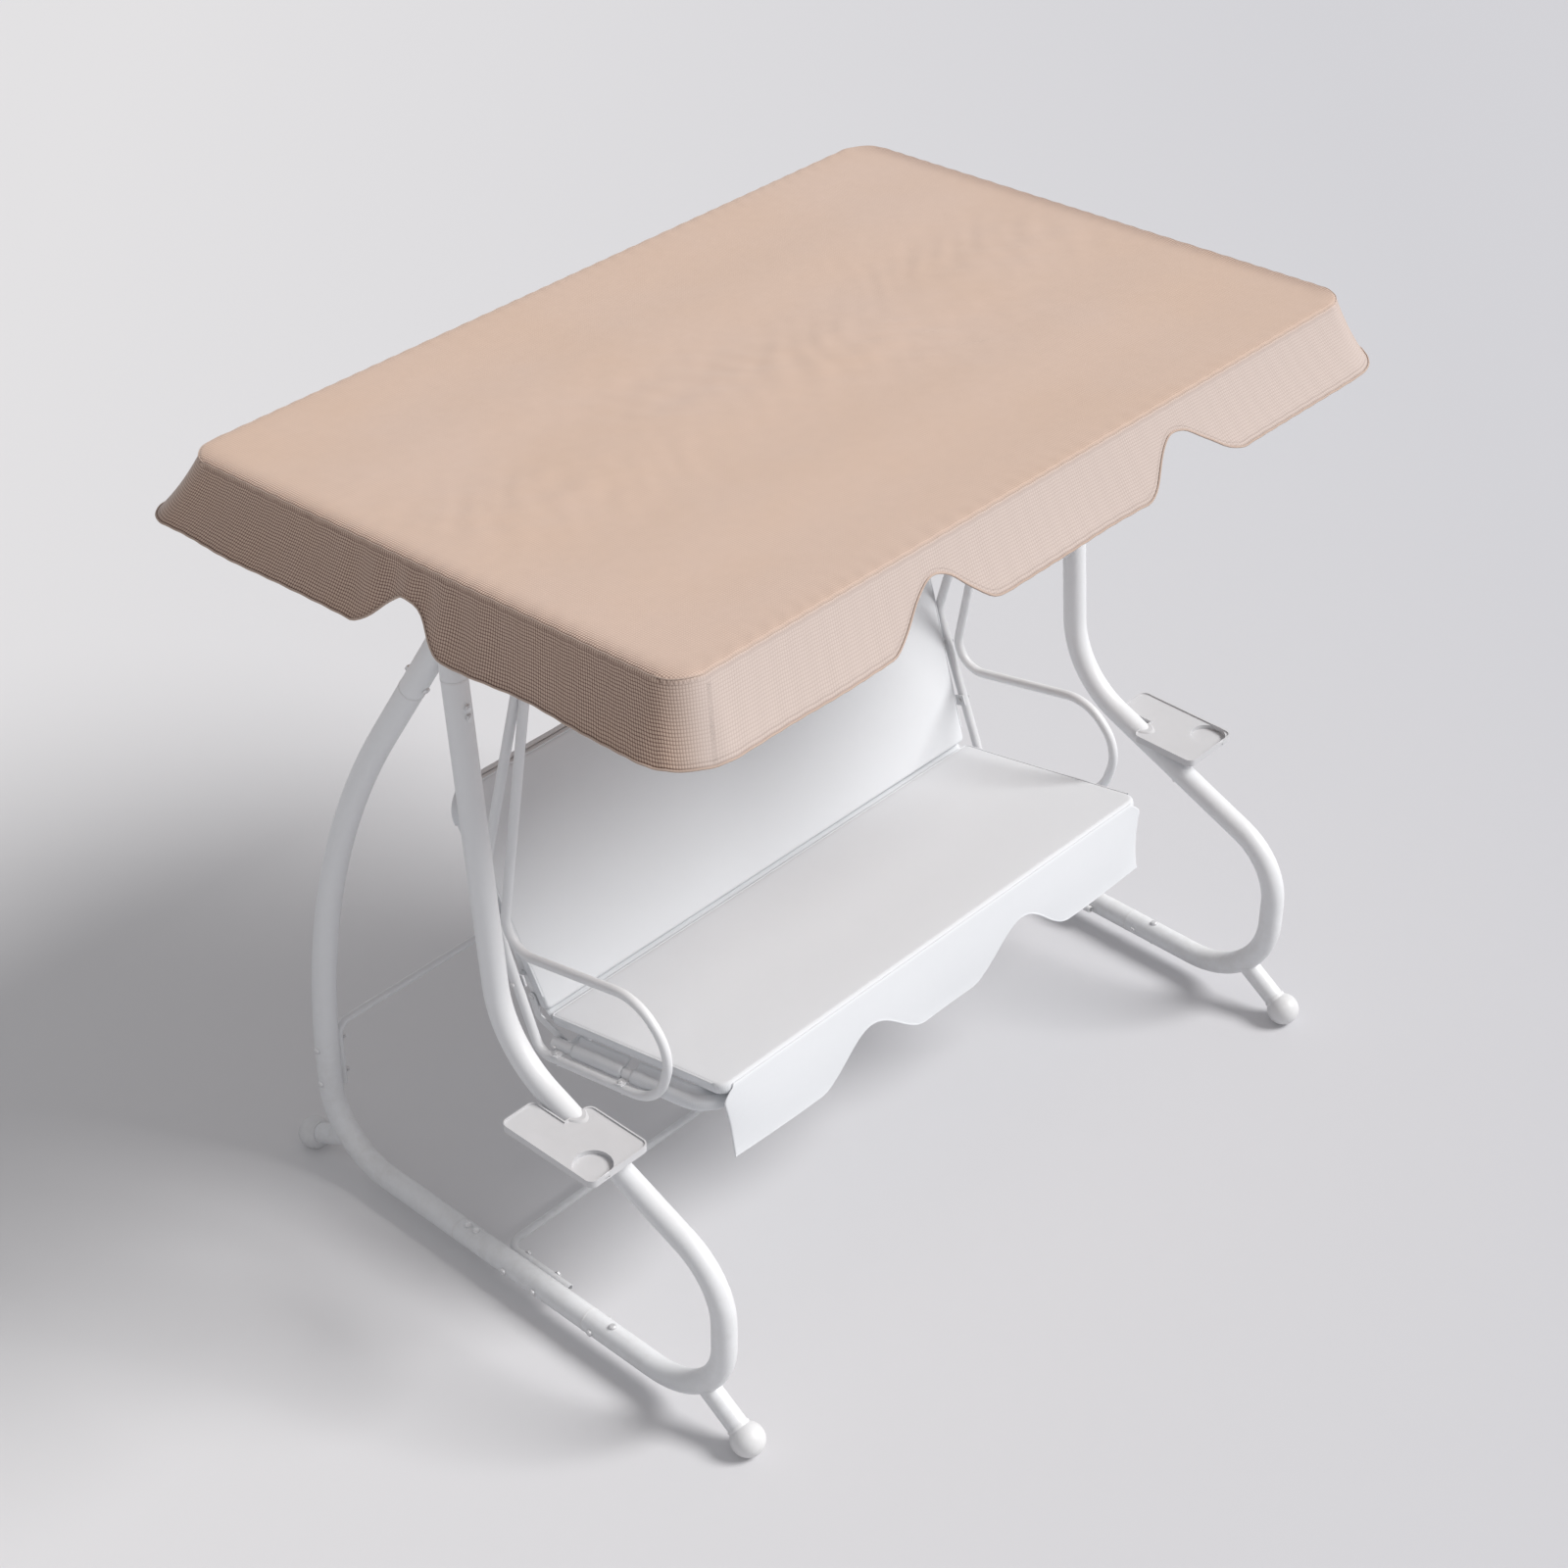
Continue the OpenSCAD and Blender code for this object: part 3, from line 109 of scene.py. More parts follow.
# the lips, where the cloth leaves the pad: the sleeves' lie under it, the back roll's at its edge
SLEEVE_LIP_IN, SLEEVE_LIP_REACH, SLEEVE_LIP_BELOW = 0.004, 0.030, 0.0015
BACK_LIP_IN, BACK_LIP_DEPTH = 0.0022, 0.62
FOLD_HALF, FOLD_IN, FOLD_DEPTH = 0.626, 0.006, 0.9
FOLD_BOW, FOLD_RIPPLE, FOLD_TOWARDS = 0.004, 0.0005, (0.8, -0.6)
ROLL_REACH, ROLL_FALL, ROLL_START = 0.016, 0.014, 1.05  # of the seat's front edge, under the valance
VALANCE_LEAN = 0.123
VALANCE_HALF, VALANCE_DROP, VALANCE_WRAP = 0.628, 0.148, 0.020
# widths as shares: on the roll, where it hangs from, and what is added and taken on the way down
ROLL_WIDTH, ROLL_WIDENING = 0.966, 0.012
HUNG_WIDTH, HUNG_WIDENING, HUNG_NARROWING, HUNG_WAIST = 0.972, 0.048, 0.034, 0.010
VALANCE_PROUD = (0.0014, 0.0016)  # off the pad, forward and up
VALANCE_BELLY, VALANCE_CURL = 0.0035, 0.008
VALANCE_RIPPLES = ((0.0013, 9, 0.8), (0.0008, 21, 2.0))
VALANCE_TAPE, VALANCE_TAPE_SHIFT = (0.0024, 0.0014), (0.0018, 0.0007)
SCALLOP_X, SCALLOP_HALF, SCALLOP_H = 0.230, 0.160, 0.085

# ---- drink trays ----
TRAY_OUT, TRAY_FRONT, TRAY_TOP, TRAY_CORNER = 0.972, -0.408, 0.5871, 0.016
RIM_RUN, RIM_INSET, RIM_DEPTH = 0.066, 0.0016, 0.0062
RIM_SECTION = (0.0017, 0.0064)

# ---- where each cloth starts in the weave, clear of the others ----
SKIRT_AT = (3.0, 1.5)
PAD_AT = 5.0
WRAP_AT = 3.0
VALANCE_AT = (5, 9)

# ---- looks ----
WEAVE_SHIFT, WEAVE_GAP = 0.006, (0.15, 0.75)
GROOVE, STITCH = (0.0004, 0.0022), (0.0004, 0.0009)  # from full depth to none, off the sewn line
STITCH_PITCH, STITCH_SHARE = 0.007, 0.68
DUST_ON_STEEL, DUST_ON_PLASTIC = (0.52, 0.50, 0.47, 1), (0.45, 0.43, 0.40, 1)

# ---- floor, light and camera ----
FLOOR_HALF = 14.0
# painted light on the floor: the direction it grows lighter along, and where that starts and ends
FLOOR_PAINTED_LIGHT, FLOOR_PAINTED_LIGHT_FROM, FLOOR_PAINTED_LIGHT_TO = (-0.681, 0.732, 0.0), -2.0, 2.4
FLOOR_GLOW = 0.10
SUN_TOWARDS, SUN_WIDTH, SUN_STRENGTH = (0.468, -0.549, 0.692), math.radians(24), 3.28
SKY, SKY_STRENGTH, SKY_SHOWN = (0.965, 0.972, 1.0, 1), 0.41, 0.30
CAMERA_AT, CAMERA_PITCH, CAMERA_TURN = (-3.760, -3.477, 4.463), math.radians(54.158), math.radians(-47.065)
LENS, SENSOR = 71.45, 36.0


# ---- meshes ----
def turned(points, angle, origin):
    """Points turned about the x axis by an angle and then moved to an origin."""
    x, y, z = points[..., 0], points[..., 1], points[..., 2]
    c, s = math.cos(angle), math.sin(angle)
    return np.stack([x + origin[0], y * c - z * s + origin[1], y * s + z * c + origin[2]], -1)


def unit_rows(v):
    """Vectors of length one."""
    return v / np.linalg.norm(v, axis=-1, keepdims=True)


def placed(name, data):
    """An object that holds the data, in the scene."""
    made = bpy.data.objects.new(name, data)
    bpy.context.scene.collection.objects.link(made)
    return made


def smooth(mesh):
    mesh.polygons.foreach_set("use_smooth", np.ones(len(mesh.polygons), bool))


def grid_quads(rows, cols, closed):
    """Corner numbers of the faces between neighbouring rows and columns.
    A closed grid joins its last column to its first."""
    span = cols if closed else cols - 1
    r, c = np.meshgrid(np.arange(rows - 1), np.arange(span), indexing="ij")
    here, beside = r * cols + c, r * cols + (c + 1) % cols
    return np.stack([here, beside, beside + cols, here + cols], -1).reshape(-1, 4)


def surface(name, points, uv, closed=False, values=None, flip=False):
    """A mesh on a grid of points, with one UV pair per point.
    On a closed grid the first column's u is carried on past the seam."""
    rows, cols = points.shape[:2]
    quads = grid_quads(rows, cols, closed)
    if flip:
        quads = quads[:, ::-1]
    mesh = bpy.data.meshes.new(name)
    mesh.from_pydata(points.reshape(-1, 3).tolist(), [], quads.tolist())
    loops = uv.reshape(-1, 2)[quads.reshape(-1)].reshape(-1, 4, 2)
    if closed:
        girth = uv[..., 0].max() + (uv[0, 1, 0] - uv[0, 0, 0])
        wide = loops[..., 0].max(1) - loops[..., 0].min(1) > girth / 2
        low = loops[..., 0] < girth / 2
        loops[..., 0] += girth * (wide[:, None] & low)
    layer = mesh.uv_layers.new(name="cloth")
    layer.data.foreach_set("uv", loops.astype(np.float32).ravel())
    for key, field in (values or {}).items():
        made = mesh.attributes.new(key, "FLOAT", "POINT")
        made.data.foreach_set("value", field.astype(np.float32).ravel())
    smooth(mesh)
    mesh.update()
    return placed(name, mesh)


def weld(piece, reach=0.0001):
    """Points that lie on each other become one, which closes a surface along its spine.
    Faces turn outwards."""
    work = bmesh.new()
    work.from_mesh(piece.data)
    bmesh.ops.remove_doubles(work, verts=work.verts, dist=reach)
    bmesh.ops.recalc_face_normals(work, faces=work.faces)
    work.to_mesh(piece.data)
    work.free()
    smooth(piece.data)
    return piece


def thicken(piece, thickness):
    """Gives a sheet its thickness, inwards from the grid, as part of its own mesh."""
    wall = piece.modifiers.new("thickness", "SOLIDIFY")
    wall.thickness = thickness
    wall.offset = -1
    graph = bpy.context.evaluated_depsgraph_get()
    shown = piece.evaluated_get(graph)
    made = bpy.data.meshes.new_from_object(shown, preserve_all_data_layers=True, depsgraph=graph)
    piece.modifiers.clear()
    old, piece.data = piece.data, made
    bpy.data.meshes.remove(old)
    made.name = piece.name
    smooth(made)
    return piece


def stations(n_long, n_short, n_arc):
    """Stations round a rectangle with rounded corners, as place (from -1 to 1 each way) and outward
    direction. They run along the front, the right side, the rear and the left side, with a quarter turn
    between."""
    along = np.linspace(-1, 1, n_long)
    side = np.linspace(-1, 1, n_short)
    arc = np.linspace(0, math.pi / 2, n_arc + 1)[1:-1]
    parts = []
    for k, (run, fixed) in enumerate(((along, -1), (side, 1), (along[::-1], 1), (side[::-1], -1))):
        out = np.zeros((len(run), 2))
        out[:, 1 - k % 2] = fixed
        place = np.full((len(run), 2), float(fixed))
        place[:, k % 2] = run
        turn = -math.pi / 2 + k * math.pi / 2 + arc
        corner = np.broadcast_to(place[-1], (len(arc), 2))
        quarter = np.stack([np.cos(turn), np.sin(turn)], -1)
        parts += [np.hstack([place, out]), np.hstack([corner, quarter])]
    return np.vstack(parts)


def ring(st, half, corners, inset):
    """One closed line inside a rounded rectangle, an inset in from its edge. The corners' radii are those at
    the near side and at the far side, and they shrink with the inset."""
    corner = corners[0] + (corners[1] - corners[0]) * (st[:, 1] + 1) / 2
    corner = corner * (1 - inset / half[1])
    x = st[:, 0] * (half[0] - inset - corner) + st[:, 2] * corner
    y = st[:, 1] * (half[1] - inset - corner) + st[:, 3] * corner
    return x, y


def rounded(x, y, half, corner):
    """Points of a rectangle's outline moved onto the same rectangle with rounder corners: each point past the
    start of a corner goes along the ray from the corner's centre to the corner's radius."""
    cx, cy = np.sign(x) * (half[0] - corner), np.sign(y) * (half[1] - corner)
    dx, dy = x - cx, y - cy
    inside = (dx * np.sign(x) > 0) & (dy * np.sign(y) > 0)
    reach = np.where(inside, corner / np.maximum(np.hypot(dx, dy), 1e-6), 1.0)
    return np.where(inside, cx + dx * reach, x), np.where(inside, cy + dy * reach, y)


def arc_length(x, y):
    """Distance along a closed line to each of its points."""
    step = np.hypot(np.diff(x, append=x[:1]), np.diff(y, append=y[:1]))
    return np.concatenate([[0], np.cumsum(step)[:-1]])


def run_length(path):
    """Distance along an open line to each of its points."""
    return np.concatenate([[0], np.cumsum(np.linalg.norm(np.diff(path, axis=0), axis=1))])


def tangents(path, closed):
    return np.roll(path, -1, 0) - np.roll(path, 1, 0) if closed else np.gradient(path, axis=0)


def sweep(name, path, side, radii, sides=8, closed=True):
    """A tube along a path: at each point an ellipse, in the plane of the side direction and of its cross
    product with the tangent."""
    tangent = unit_rows(tangents(path, closed))
    side = unit_rows(side - tangent * (side * tangent).sum(1, keepdims=True))
    other = np.cross(tangent, side)
    turn = np.linspace(0, 2 * math.pi, sides, endpoint=False)[:, None, None]
    points = path[None] + radii[0] * np.cos(turn) * side[None] + radii[1] * np.sin(turn) * other[None]
    points = np.concatenate([points, points[:1]])
    around = np.linspace(0, 2 * math.pi * radii[0], sides + 1)
    uv = np.stack(np.broadcast_arrays(run_length(path)[None], around[:, None]), -1)
    return weld(surface(name, points, uv, closed=closed))


def hem_tape(name, points, shift, radii, closed):
    """The tape that binds the last row of a sheet, shifted up the cloth and across it."""
    low, fall = points[-1], unit_rows(points[-1] - points[-2])
    across = unit_rows(np.cross(tangents(low, closed), fall))
    return sweep(name, low - shift[0] * fall + shift[1] * across, fall, radii, closed=closed)


def waves(s, girth, seeds, reach):
    """A sum of sines that closes on itself after the girth; each seed is (number of waves, share, phase)."""
    turn = 2 * math.pi * s / girth
    return reach * sum(share * np.sin(count * turn + phase) for count, share, phase in seeds)


def notch(at, centre, half, height):
    """Raised cosine: how far a scalloped hem is cut up at a place."""
    away = np.abs(at - centre)
    return np.where(away < half, height * (1 + np.cos(math.pi * away / half)) / 2, 0.0)


# ---- canopy ----
def straight(direction):
    """True on the straight runs that face along an axis."""
    return np.abs(direction) > 0.99


def canopy_hem_drop(st, x, y):
    """Length of the skirt at each station: the full drop less the scallops.
    There are two in front, two in the rear and one at each side."""
    cut = np.where(straight(st[:, 3]), notch(np.abs(x), NOTCH_X, NOTCH_HALF, NOTCH_H), 0.0)
    cut = cut + np.where(straight(st[:, 2]), notch(y, 0.0, SIDE_NOTCH_HALF, SIDE_NOTCH_H), 0.0)
    return SKIRT_DROP - cut


def pucker(along, away, bend):
    """Small uneven waves along an edge, which die out away from it."""
    wave = np.sin(PUCKER_WAVES * along + 2.0 * np.sin(bend * along))
    return PUCKER * wave * np.exp(-(away / PUCKER_BAND) ** 2)


def crumples(x, y):
    """Light crumples in patches along the middle: three sets of crossing sines, on a wavering grid."""
    along, over = x + 0.018 * np.sin(11 * y + 1.3), y + 0.022 * np.sin(7 * x + 0.4)
    square = np.sin(97 * along + 1.1 * np.sin(31 * over)) * np.sin(71 * over + 0.9 * np.sin(23 * along))
    crease = (square * 0.7 + np.sin(63 * (over + 0.45 * along) + 1.2 * np.sin(19 * along + 0.6)) * 0.5
              + np.sin(58 * (over - 0.7 * along) + 1.4 * np.sin(17 * along + 2.6)) * 0.4)
    patches = np.clip(0.62 + 0.38 * np.sin(8.1 * x + 1.1 + 2.0 * np.sin(6 * y)), 0, 1)
    return CRUMPLE * crease * patches * np.exp(-((y - 0.03 + 0.06 * x) / CRUMPLE_BAND) ** 2)


def roof_height(x, y):
    """Height of the cloth over the tilt axis: it sags a few millimetres between the rails and bars, is
    lightly crumpled along its middle, and puckers along its edges."""
    inside = np.clip(1 - (x / ROOF_HALF[0]) ** 6, 0, 1) * np.clip(1 - (y / ROOF_HALF[1]) ** 6, 0, 1)
    bays = np.cos(math.pi * y / BAY) * 0.5 + 0.5
    sag = -SAG * (1 - bays * 0.2) * inside * np.sin(math.pi * y / BAY) ** 2
    puckers = pucker(x, ROOF_HALF[1] - np.abs(y), 11) + pucker(y, ROOF_HALF[0] - np.abs(x), 13)
    return ROOF_TOP + sag + crumples(x, y) * inside + puckers


def gathers(st, y):
    """Soft gathers in the side skirts over the side scallops."""
    fold = GATHER * np.cos(2 * math.pi * y / GATHER_PITCH) * np.exp(-((y / GATHER_BAND) ** 2))
    return np.where(straight(st[:, 2]), fold, 0.0)


def canopy_rows():
    """The roof cloth in one sheet, row by row from its spine to its hem. The rings of the top lie nearly
    flat, the cloth rolls over the rails with a quarter circle, and then it flares out down the skirt, which
    ripples more the lower it hangs. Each row holds points, places in the weave, distances from the hem, how
    far the weave's gaps are darkened with painted shade, and how far the thread is painted paler as painted
    light."""
    st = stations(171, 121, 14)
    out_x, out_y = st[:, 2], st[:, 3]
    corners = (ROOF_CORNER, ROOF_CORNER)
    # painted shade: the gaps are darkened most on the side skirts, which stand in shade, and least on top
    shown = GAP_SHADE_ENDS + (GAP_SHADE_SIDES - GAP_SHADE_ENDS) * out_x ** 4
    far_off = np.ones(len(st))
    rows = []
    insets = ROOF_HALF[1] - np.linspace(0, 1, TOP_RINGS) ** 0.9 * (ROOF_HALF[1] - ROOF_ROLL)
    for inset in insets[:-1]:
        x, y = ring(st, ROOF_HALF, corners, inset)
        # painted shade: on top the gaps darken more in a band towards the roll
        top = GAP_SHADE_TOP + (0.8 * shown - GAP_SHADE_TOP) * np.exp(-((inset - ROOF_ROLL) / GAP_SHADE_BAND) ** 2)
        rows.append(((x, y + ROOF_Y, roof_height(x, y)), (x, y), far_off, top, 0 * x))

    edge_z = roof_height(*ring(st, ROOF_HALF, corners, ROOF_ROLL))
    xe, ye = ring(st, ROOF_HALF, corners, 0)
    for turn in np.linspace(0, math.pi / 2, ROLL_ROWS):
        out, down = ROOF_ROLL * (math.sin(turn) - 1), ROOF_ROLL * (1 - math.cos(turn))
        x, y = xe + out_x * out, ye + out_y * out
        # painted light: across the roll the front and rear thread turns paler, as a painted sheen of light
        painted_sheen = math.sin(turn) ** 2 * out_y ** 2
        rows.append(((x, y + ROOF_Y, edge_z - down), (x, y), far_off, shown, painted_sheen))

    s = arc_length(xe, ye)
    girth = s[-1] + np.hypot(xe[0] - xe[-1], ye[0] - ye[-1])
    drop = canopy_hem_drop(st, xe, ye)
    flare_x = SIDE_FLARE * st[:, 0]
    flare_y = np.where(st[:, 1] < 0, FRONT_FLARE, REAR_FLARE) * st[:, 1]
    ripple = waves(s, girth, RIPPLES, RIPPLE) * (0.45 + 0.55 * out_x ** 2)
    gather = gathers(st, ye)
    for f in np.linspace(0, 1, SKIRT_ROWS)[1:]:
        down = ROOF_ROLL + (drop - ROOF_ROLL) * f
        q = (down - ROOF_ROLL) / (SKIRT_DROP - ROOF_ROLL)
        spread = 0.80 * q + 0.20 * q ** 2.5
        out = ripple * q ** 1.3 + gather * np.sin(math.pi * np.clip(q, 0, 1) ** 0.7)
        x, y = rounded(xe, ye, ROOF_HALF, ROOF_CORNER + SKIRT_ROUNDING * q * (ye < 0))
        x, y = x + flare_x * spread + out_x * out, y + flare_y * spread + out_y * out
        place = (s + SKIRT_AT[0], SKIRT_AT[1] - down)
        # painted light: the front and rear skirts' thread is painted paler, as a sheen of light
        rows.append(((x, y + ROOF_Y, edge_z - down), place, drop * (1 - f), shown, out_y ** 2))
    return rows, s


def fix_weave_seam(piece, cols, first, s):
    """Gives the first row of skirt faces the skirt's own place in the weave on their upper corners too,
    because the skirt's first row shares the last row of the roll."""
    mesh = piece.data
    layer = mesh.uv_layers["cloth"]
    uv = np.zeros(len(mesh.loops) * 2, np.float32)
    layer.data.foreach_get("uv", uv)
    uv = uv.reshape(-1, 4, 2)
    corner = np.zeros(len(mesh.loops), np.int32)
    mesh.loops.foreach_get("vertex_index", corner)
    corner = corner.reshape(-1, 4)
    strip = corner.min(1) // cols == first - 1
    upper = (corner // cols == first - 1) & strip[:, None]
    lower = (corner // cols == first) & strip[:, None]
    last_column = strip & (np.ptp(corner % cols, axis=1) > 1)
    place = s[corner % cols] + SKIRT_AT[0]
    place = place + (s[-1] + s[1]) * (last_column[:, None] & (corner % cols == 0))
    uv[..., 0] = np.where(upper | lower, place, uv[..., 0])
    uv[..., 1] = np.where(upper, SKIRT_AT[1] - ROOF_ROLL, uv[..., 1])
    layer.data.foreach_set("uv", uv.ravel())


def build_canopy():
    """The roof cloth, the cord along its upper edge and the tape of its hem."""
    rows, s = canopy_rows()
    points, uv, hem, weave, painted_sheen = (np.array(part) for part in zip(*rows))
    points = turned(np.moveaxis(points, 1, -1), -ROOF_TILT, ROOF_PIVOT)
    fields = {"hem": hem, "weave": weave, "painted_sheen": painted_sheen}
    cover = surface("canopy_cover", points, np.moveaxis(uv, 1, -1), closed=True, values=fields)
    fix_weave_seam(cover, len(s), TOP_RINGS - 1 + ROLL_ROWS, s)
    thicken(weld(cover), CLOTH_T)
    edge = points[TOP_RINGS - 1 + ROLL_ROWS // 2]
    out = edge - points[TOP_RINGS - 2]
    cord = sweep("canopy_piping", edge + CORD_PROUD * unit_rows(out), out, (CORD, CORD))
    return cover, cord, hem_tape("canopy_hem", points, HEM_TAPE_SHIFT, HEM_TAPE, True)


# ---- seat and back ----
def waist(x, y, half):
    """How far the sides pull in: a hill that is flat in the middle and ends at the corners."""
    return PAD_WAIST * (1 - (y / half[1]) ** 4) * np.abs(x / half[0]) ** 3


def pad_rows(st, half, corners):
    """Rings of a closed pad: out from a spine over the crowned top, round a half ellipse at the edge, and
    back to the spine below."""
    inner = half[1] * np.array(PAD_RINGS)
    edge = PAD_T / 2
    bend = np.linspace(math.pi / 2, -math.pi / 2, 13)
    insets = np.concatenate([inner, edge * PAD_ROUNDING * (1 - np.cos(bend) ** 0.8), inner[::-1]])
    flat, turn = np.ones(len(inner)), np.sign(np.sin(bend)) * np.abs(np.sin(bend)) ** 0.75
    rows = []
    for inset, lift in zip(insets, np.concatenate([flat, turn, -flat])):
        x, y = ring(st, half, corners, inset)
        out = np.abs(x / half[0])
        body = (1 - out ** 6) * (1 - np.abs(y / half[1]) ** 5)
        pull = PAD_CREASE * np.sin(46 * (np.abs(x) + y) + 2.0 * np.sin(9 * x)) * out ** 5 * (1 - out ** 40)
        crown = (PAD_CROWN + pull) * body if lift > 0 else 0.0
        rows.append(np.stack([x - np.sign(x) * waist(x, y, half), y, edge * (lift - 1) + crown + 0 * x], -1))
    return np.array(rows)


def pad(name, half, corners, place):
    """A pad and the light cord that is sewn into its seam, just under its upper edge.
    The cord is left out along an open front."""
    st = stations(131, 51, 7)
    local = pad_rows(st, half, corners)
    cover = weld(surface(name + "_cover", place(local), local[..., :2] + PAD_AT, closed=True))
    x, y = ring(st, half, corners, PIPING_IN)
    x = x - np.sign(x) * waist(x, y, half)
    rim = place(np.stack([x, y, 0 * x - PIPING_DOWN], -1))
    out = place(np.stack([x + st[:, 2], y + st[:, 3], 0 * x - PIPING_DOWN], -1)) - rim
    kept = y > PIPING_OPEN - half[1]
    first = int(np.flatnonzero(kept & ~np.roll(kept, 1))[0])
    order = np.roll(np.arange(len(x)), -first)[:kept.sum()]
    return cover, sweep(name + "_piping", rim[order], out[order], (PIPING, PIPING), closed=False)


def seat_place(points):
    """From the middle of the seat to the frame of the construction: the seat rises to the front."""
    shifted = points + np.array([0, -SEAT_SPAN / 2, 0])
    return turned(shifted, -SEAT_RISE, SEAT_BACK)


def back_place(points):
    """From the middle of the back, lying flat with its top edge away and its face up, to the frame of the
    construction, spread towards its top."""
    share = (points[..., 1] + BACK_LEN / 2) / BACK_LEN
    x = points[..., 0] * (SEAT_HALF_W + (BACK_TOP_HALF - SEAT_HALF_W) * share) / BACK_TOP_HALF
    up = points[..., 1] + BACK_LEN / 2 + SEAM_GAP
    return turned(np.stack([x, -points[..., 2], up], -1), -BACK_LEAN, BACK_FOOT)


def wrapped_rail(name, rail, out, lip, angles, radius, rail_depth, place, flip):
    """Cloth drawn round a rail behind a pad. At each point of the rail's middle line the profile leaves the
    pad at the lip, goes in a shallow valley to the rail and follows an arc of a circle round it, from the
    first angle to the second; 90 degrees is towards the pad."""
    along = run_length(rail)
    turn = np.radians(np.linspace(*angles, 19))
    ripple = WRAP_RIPPLE * np.sin(along * 130 + 2.0 * np.sin(along * 31))
    reach, depth, wrap = [], [], []
    for f in np.linspace(0, VALLEY_END, 7):
        reach.append(lip[0] + (radius * math.cos(turn[0]) - lip[0]) * f + 0 * along)
        fall = (rail_depth - radius * math.sin(turn[0]) - lip[1]) * f
        depth.append(lip[1] + fall + VALLEY * math.sin(math.pi * f) + 0 * along)
        wrap.append(VALLEY_RUN * f + 0 * along)
    for a in turn:
        reach.append(radius * math.cos(a) + 0 * along)
        depth.append(rail_depth - radius * math.sin(a) + ripple)
        wrap.append(VALLEY_RUN + radius * (turn[0] - a) + 0 * along)
    reach = np.array(reach)
    local = np.stack([rail[:, 0] + out[:, 0] * reach, rail[:, 1] + out[:, 1] * reach, -np.array(depth)], -1)
    uv = np.stack([along + 0 * reach, np.array(wrap)], -1) + WRAP_AT
    return thicken(surface(name, place(local), uv, flip=flip), SEAT_CLOTH_T)


def seat_sleeve(name, start, end, side):
    """The stretch of a seat side's sleeve between two distances along the rail, which turns a corner to the
    front."""
    far = np.linspace(start, end, max(int((end - start) / SLEEVE_STEP), 2))
    level = RAIL_FRONT - RAIL_CORNER
    turn = np.clip((far - level) / RAIL_CORNER, 0, None)
    angle = np.minimum(turn, math.pi / 2)
    x = RAIL_X - RAIL_CORNER * (1 - np.cos(angle)) - (turn - angle) * RAIL_CORNER
    y = np.minimum(far, level) + RAIL_CORNER * np.sin(angle)
    rail = np.stack([side * x, SEAT_SPAN / 2 - y], -1)
    out = np.stack([side * np.cos(angle), -np.sin(angle)], -1)
    to_pad = (RAIL_X - SEAT_HALF_W) / np.maximum(np.cos(angle), 0.5)
    lip = (-np.minimum(to_pad, SLEEVE_LIP_REACH) - SLEEVE_LIP_IN, PAD_T + SLEEVE_LIP_BELOW)
    return wrapped_rail(name, rail, out, lip, SLEEVE_ARC, SLEEVE_R, RAIL_DROP, seat_place, side > 0)


def back_roll():
    """The cloth's roll over the top of the back's hoop, from one upper corner round to the other."""
    angle = np.linspace(0, math.pi / 2, 14)
    corner = BACK_CORNERS[1]
    radius = corner - BACK_RAIL_IN
    x, y = BACK_TOP_HALF - corner, BACK_LEN / 2 - corner
    quarter = np.stack([np.cos(angle), np.sin(angle)], -1)
    bend = [x, y] + radius * quarter
    level_x = np.linspace(x, -x, 160)[1:-1]
    level = np.stack([level_x, np.full(len(level_x), y + radius)], -1)
    rail = np.concatenate([bend, level, bend[::-1] * [-1, 1]])
    out = np.concatenate([quarter, np.tile([0.0, 1.0], (len(level), 1)), quarter[::-1] * [-1, 1]])
    lip = (BACK_RAIL_IN - BACK_LIP_IN, PAD_T * BACK_LIP_DEPTH)
    return wrapped_rail("back_roll", rail, out, lip, BACK_ROLL_ARC, BACK_ROLL_R, BACK_RAIL_DEPTH,
                        back_place, False)


def seat_fold():
    """The fold of cloth that joins the seat's rear edge to the back's lower edge behind their seam: a line
    from edge to edge that bows out to the rear by a sine."""
    x = np.linspace(-FOLD_HALF, FOLD_HALF, 120)
    below = -PAD_T * FOLD_DEPTH
    low = seat_place(np.array([0.0, SEAT_SPAN / 2 - FOLD_IN, below]))
    high = back_place(np.array([0.0, -BACK_LEN / 2 + FOLD_IN, below]))
    rows = []
    for f in np.linspace(0, 1, 11):
        y, z = low[1:] + (high[1:] - low[1:]) * f
        bow = FOLD_BOW * math.sin(math.pi * f) + FOLD_RIPPLE * np.sin(30 * x + 2.0 * np.sin(7 * x))
        rows.append(np.stack([x, y + FOLD_TOWARDS[0] * bow, z + FOLD_TOWARDS[1] * bow], -1))
    points = np.array(rows)
    return thicken(surface("seat_fold", points, points[..., ::2] + PAD_AT, flip=True), SEAT_CLOTH_T)


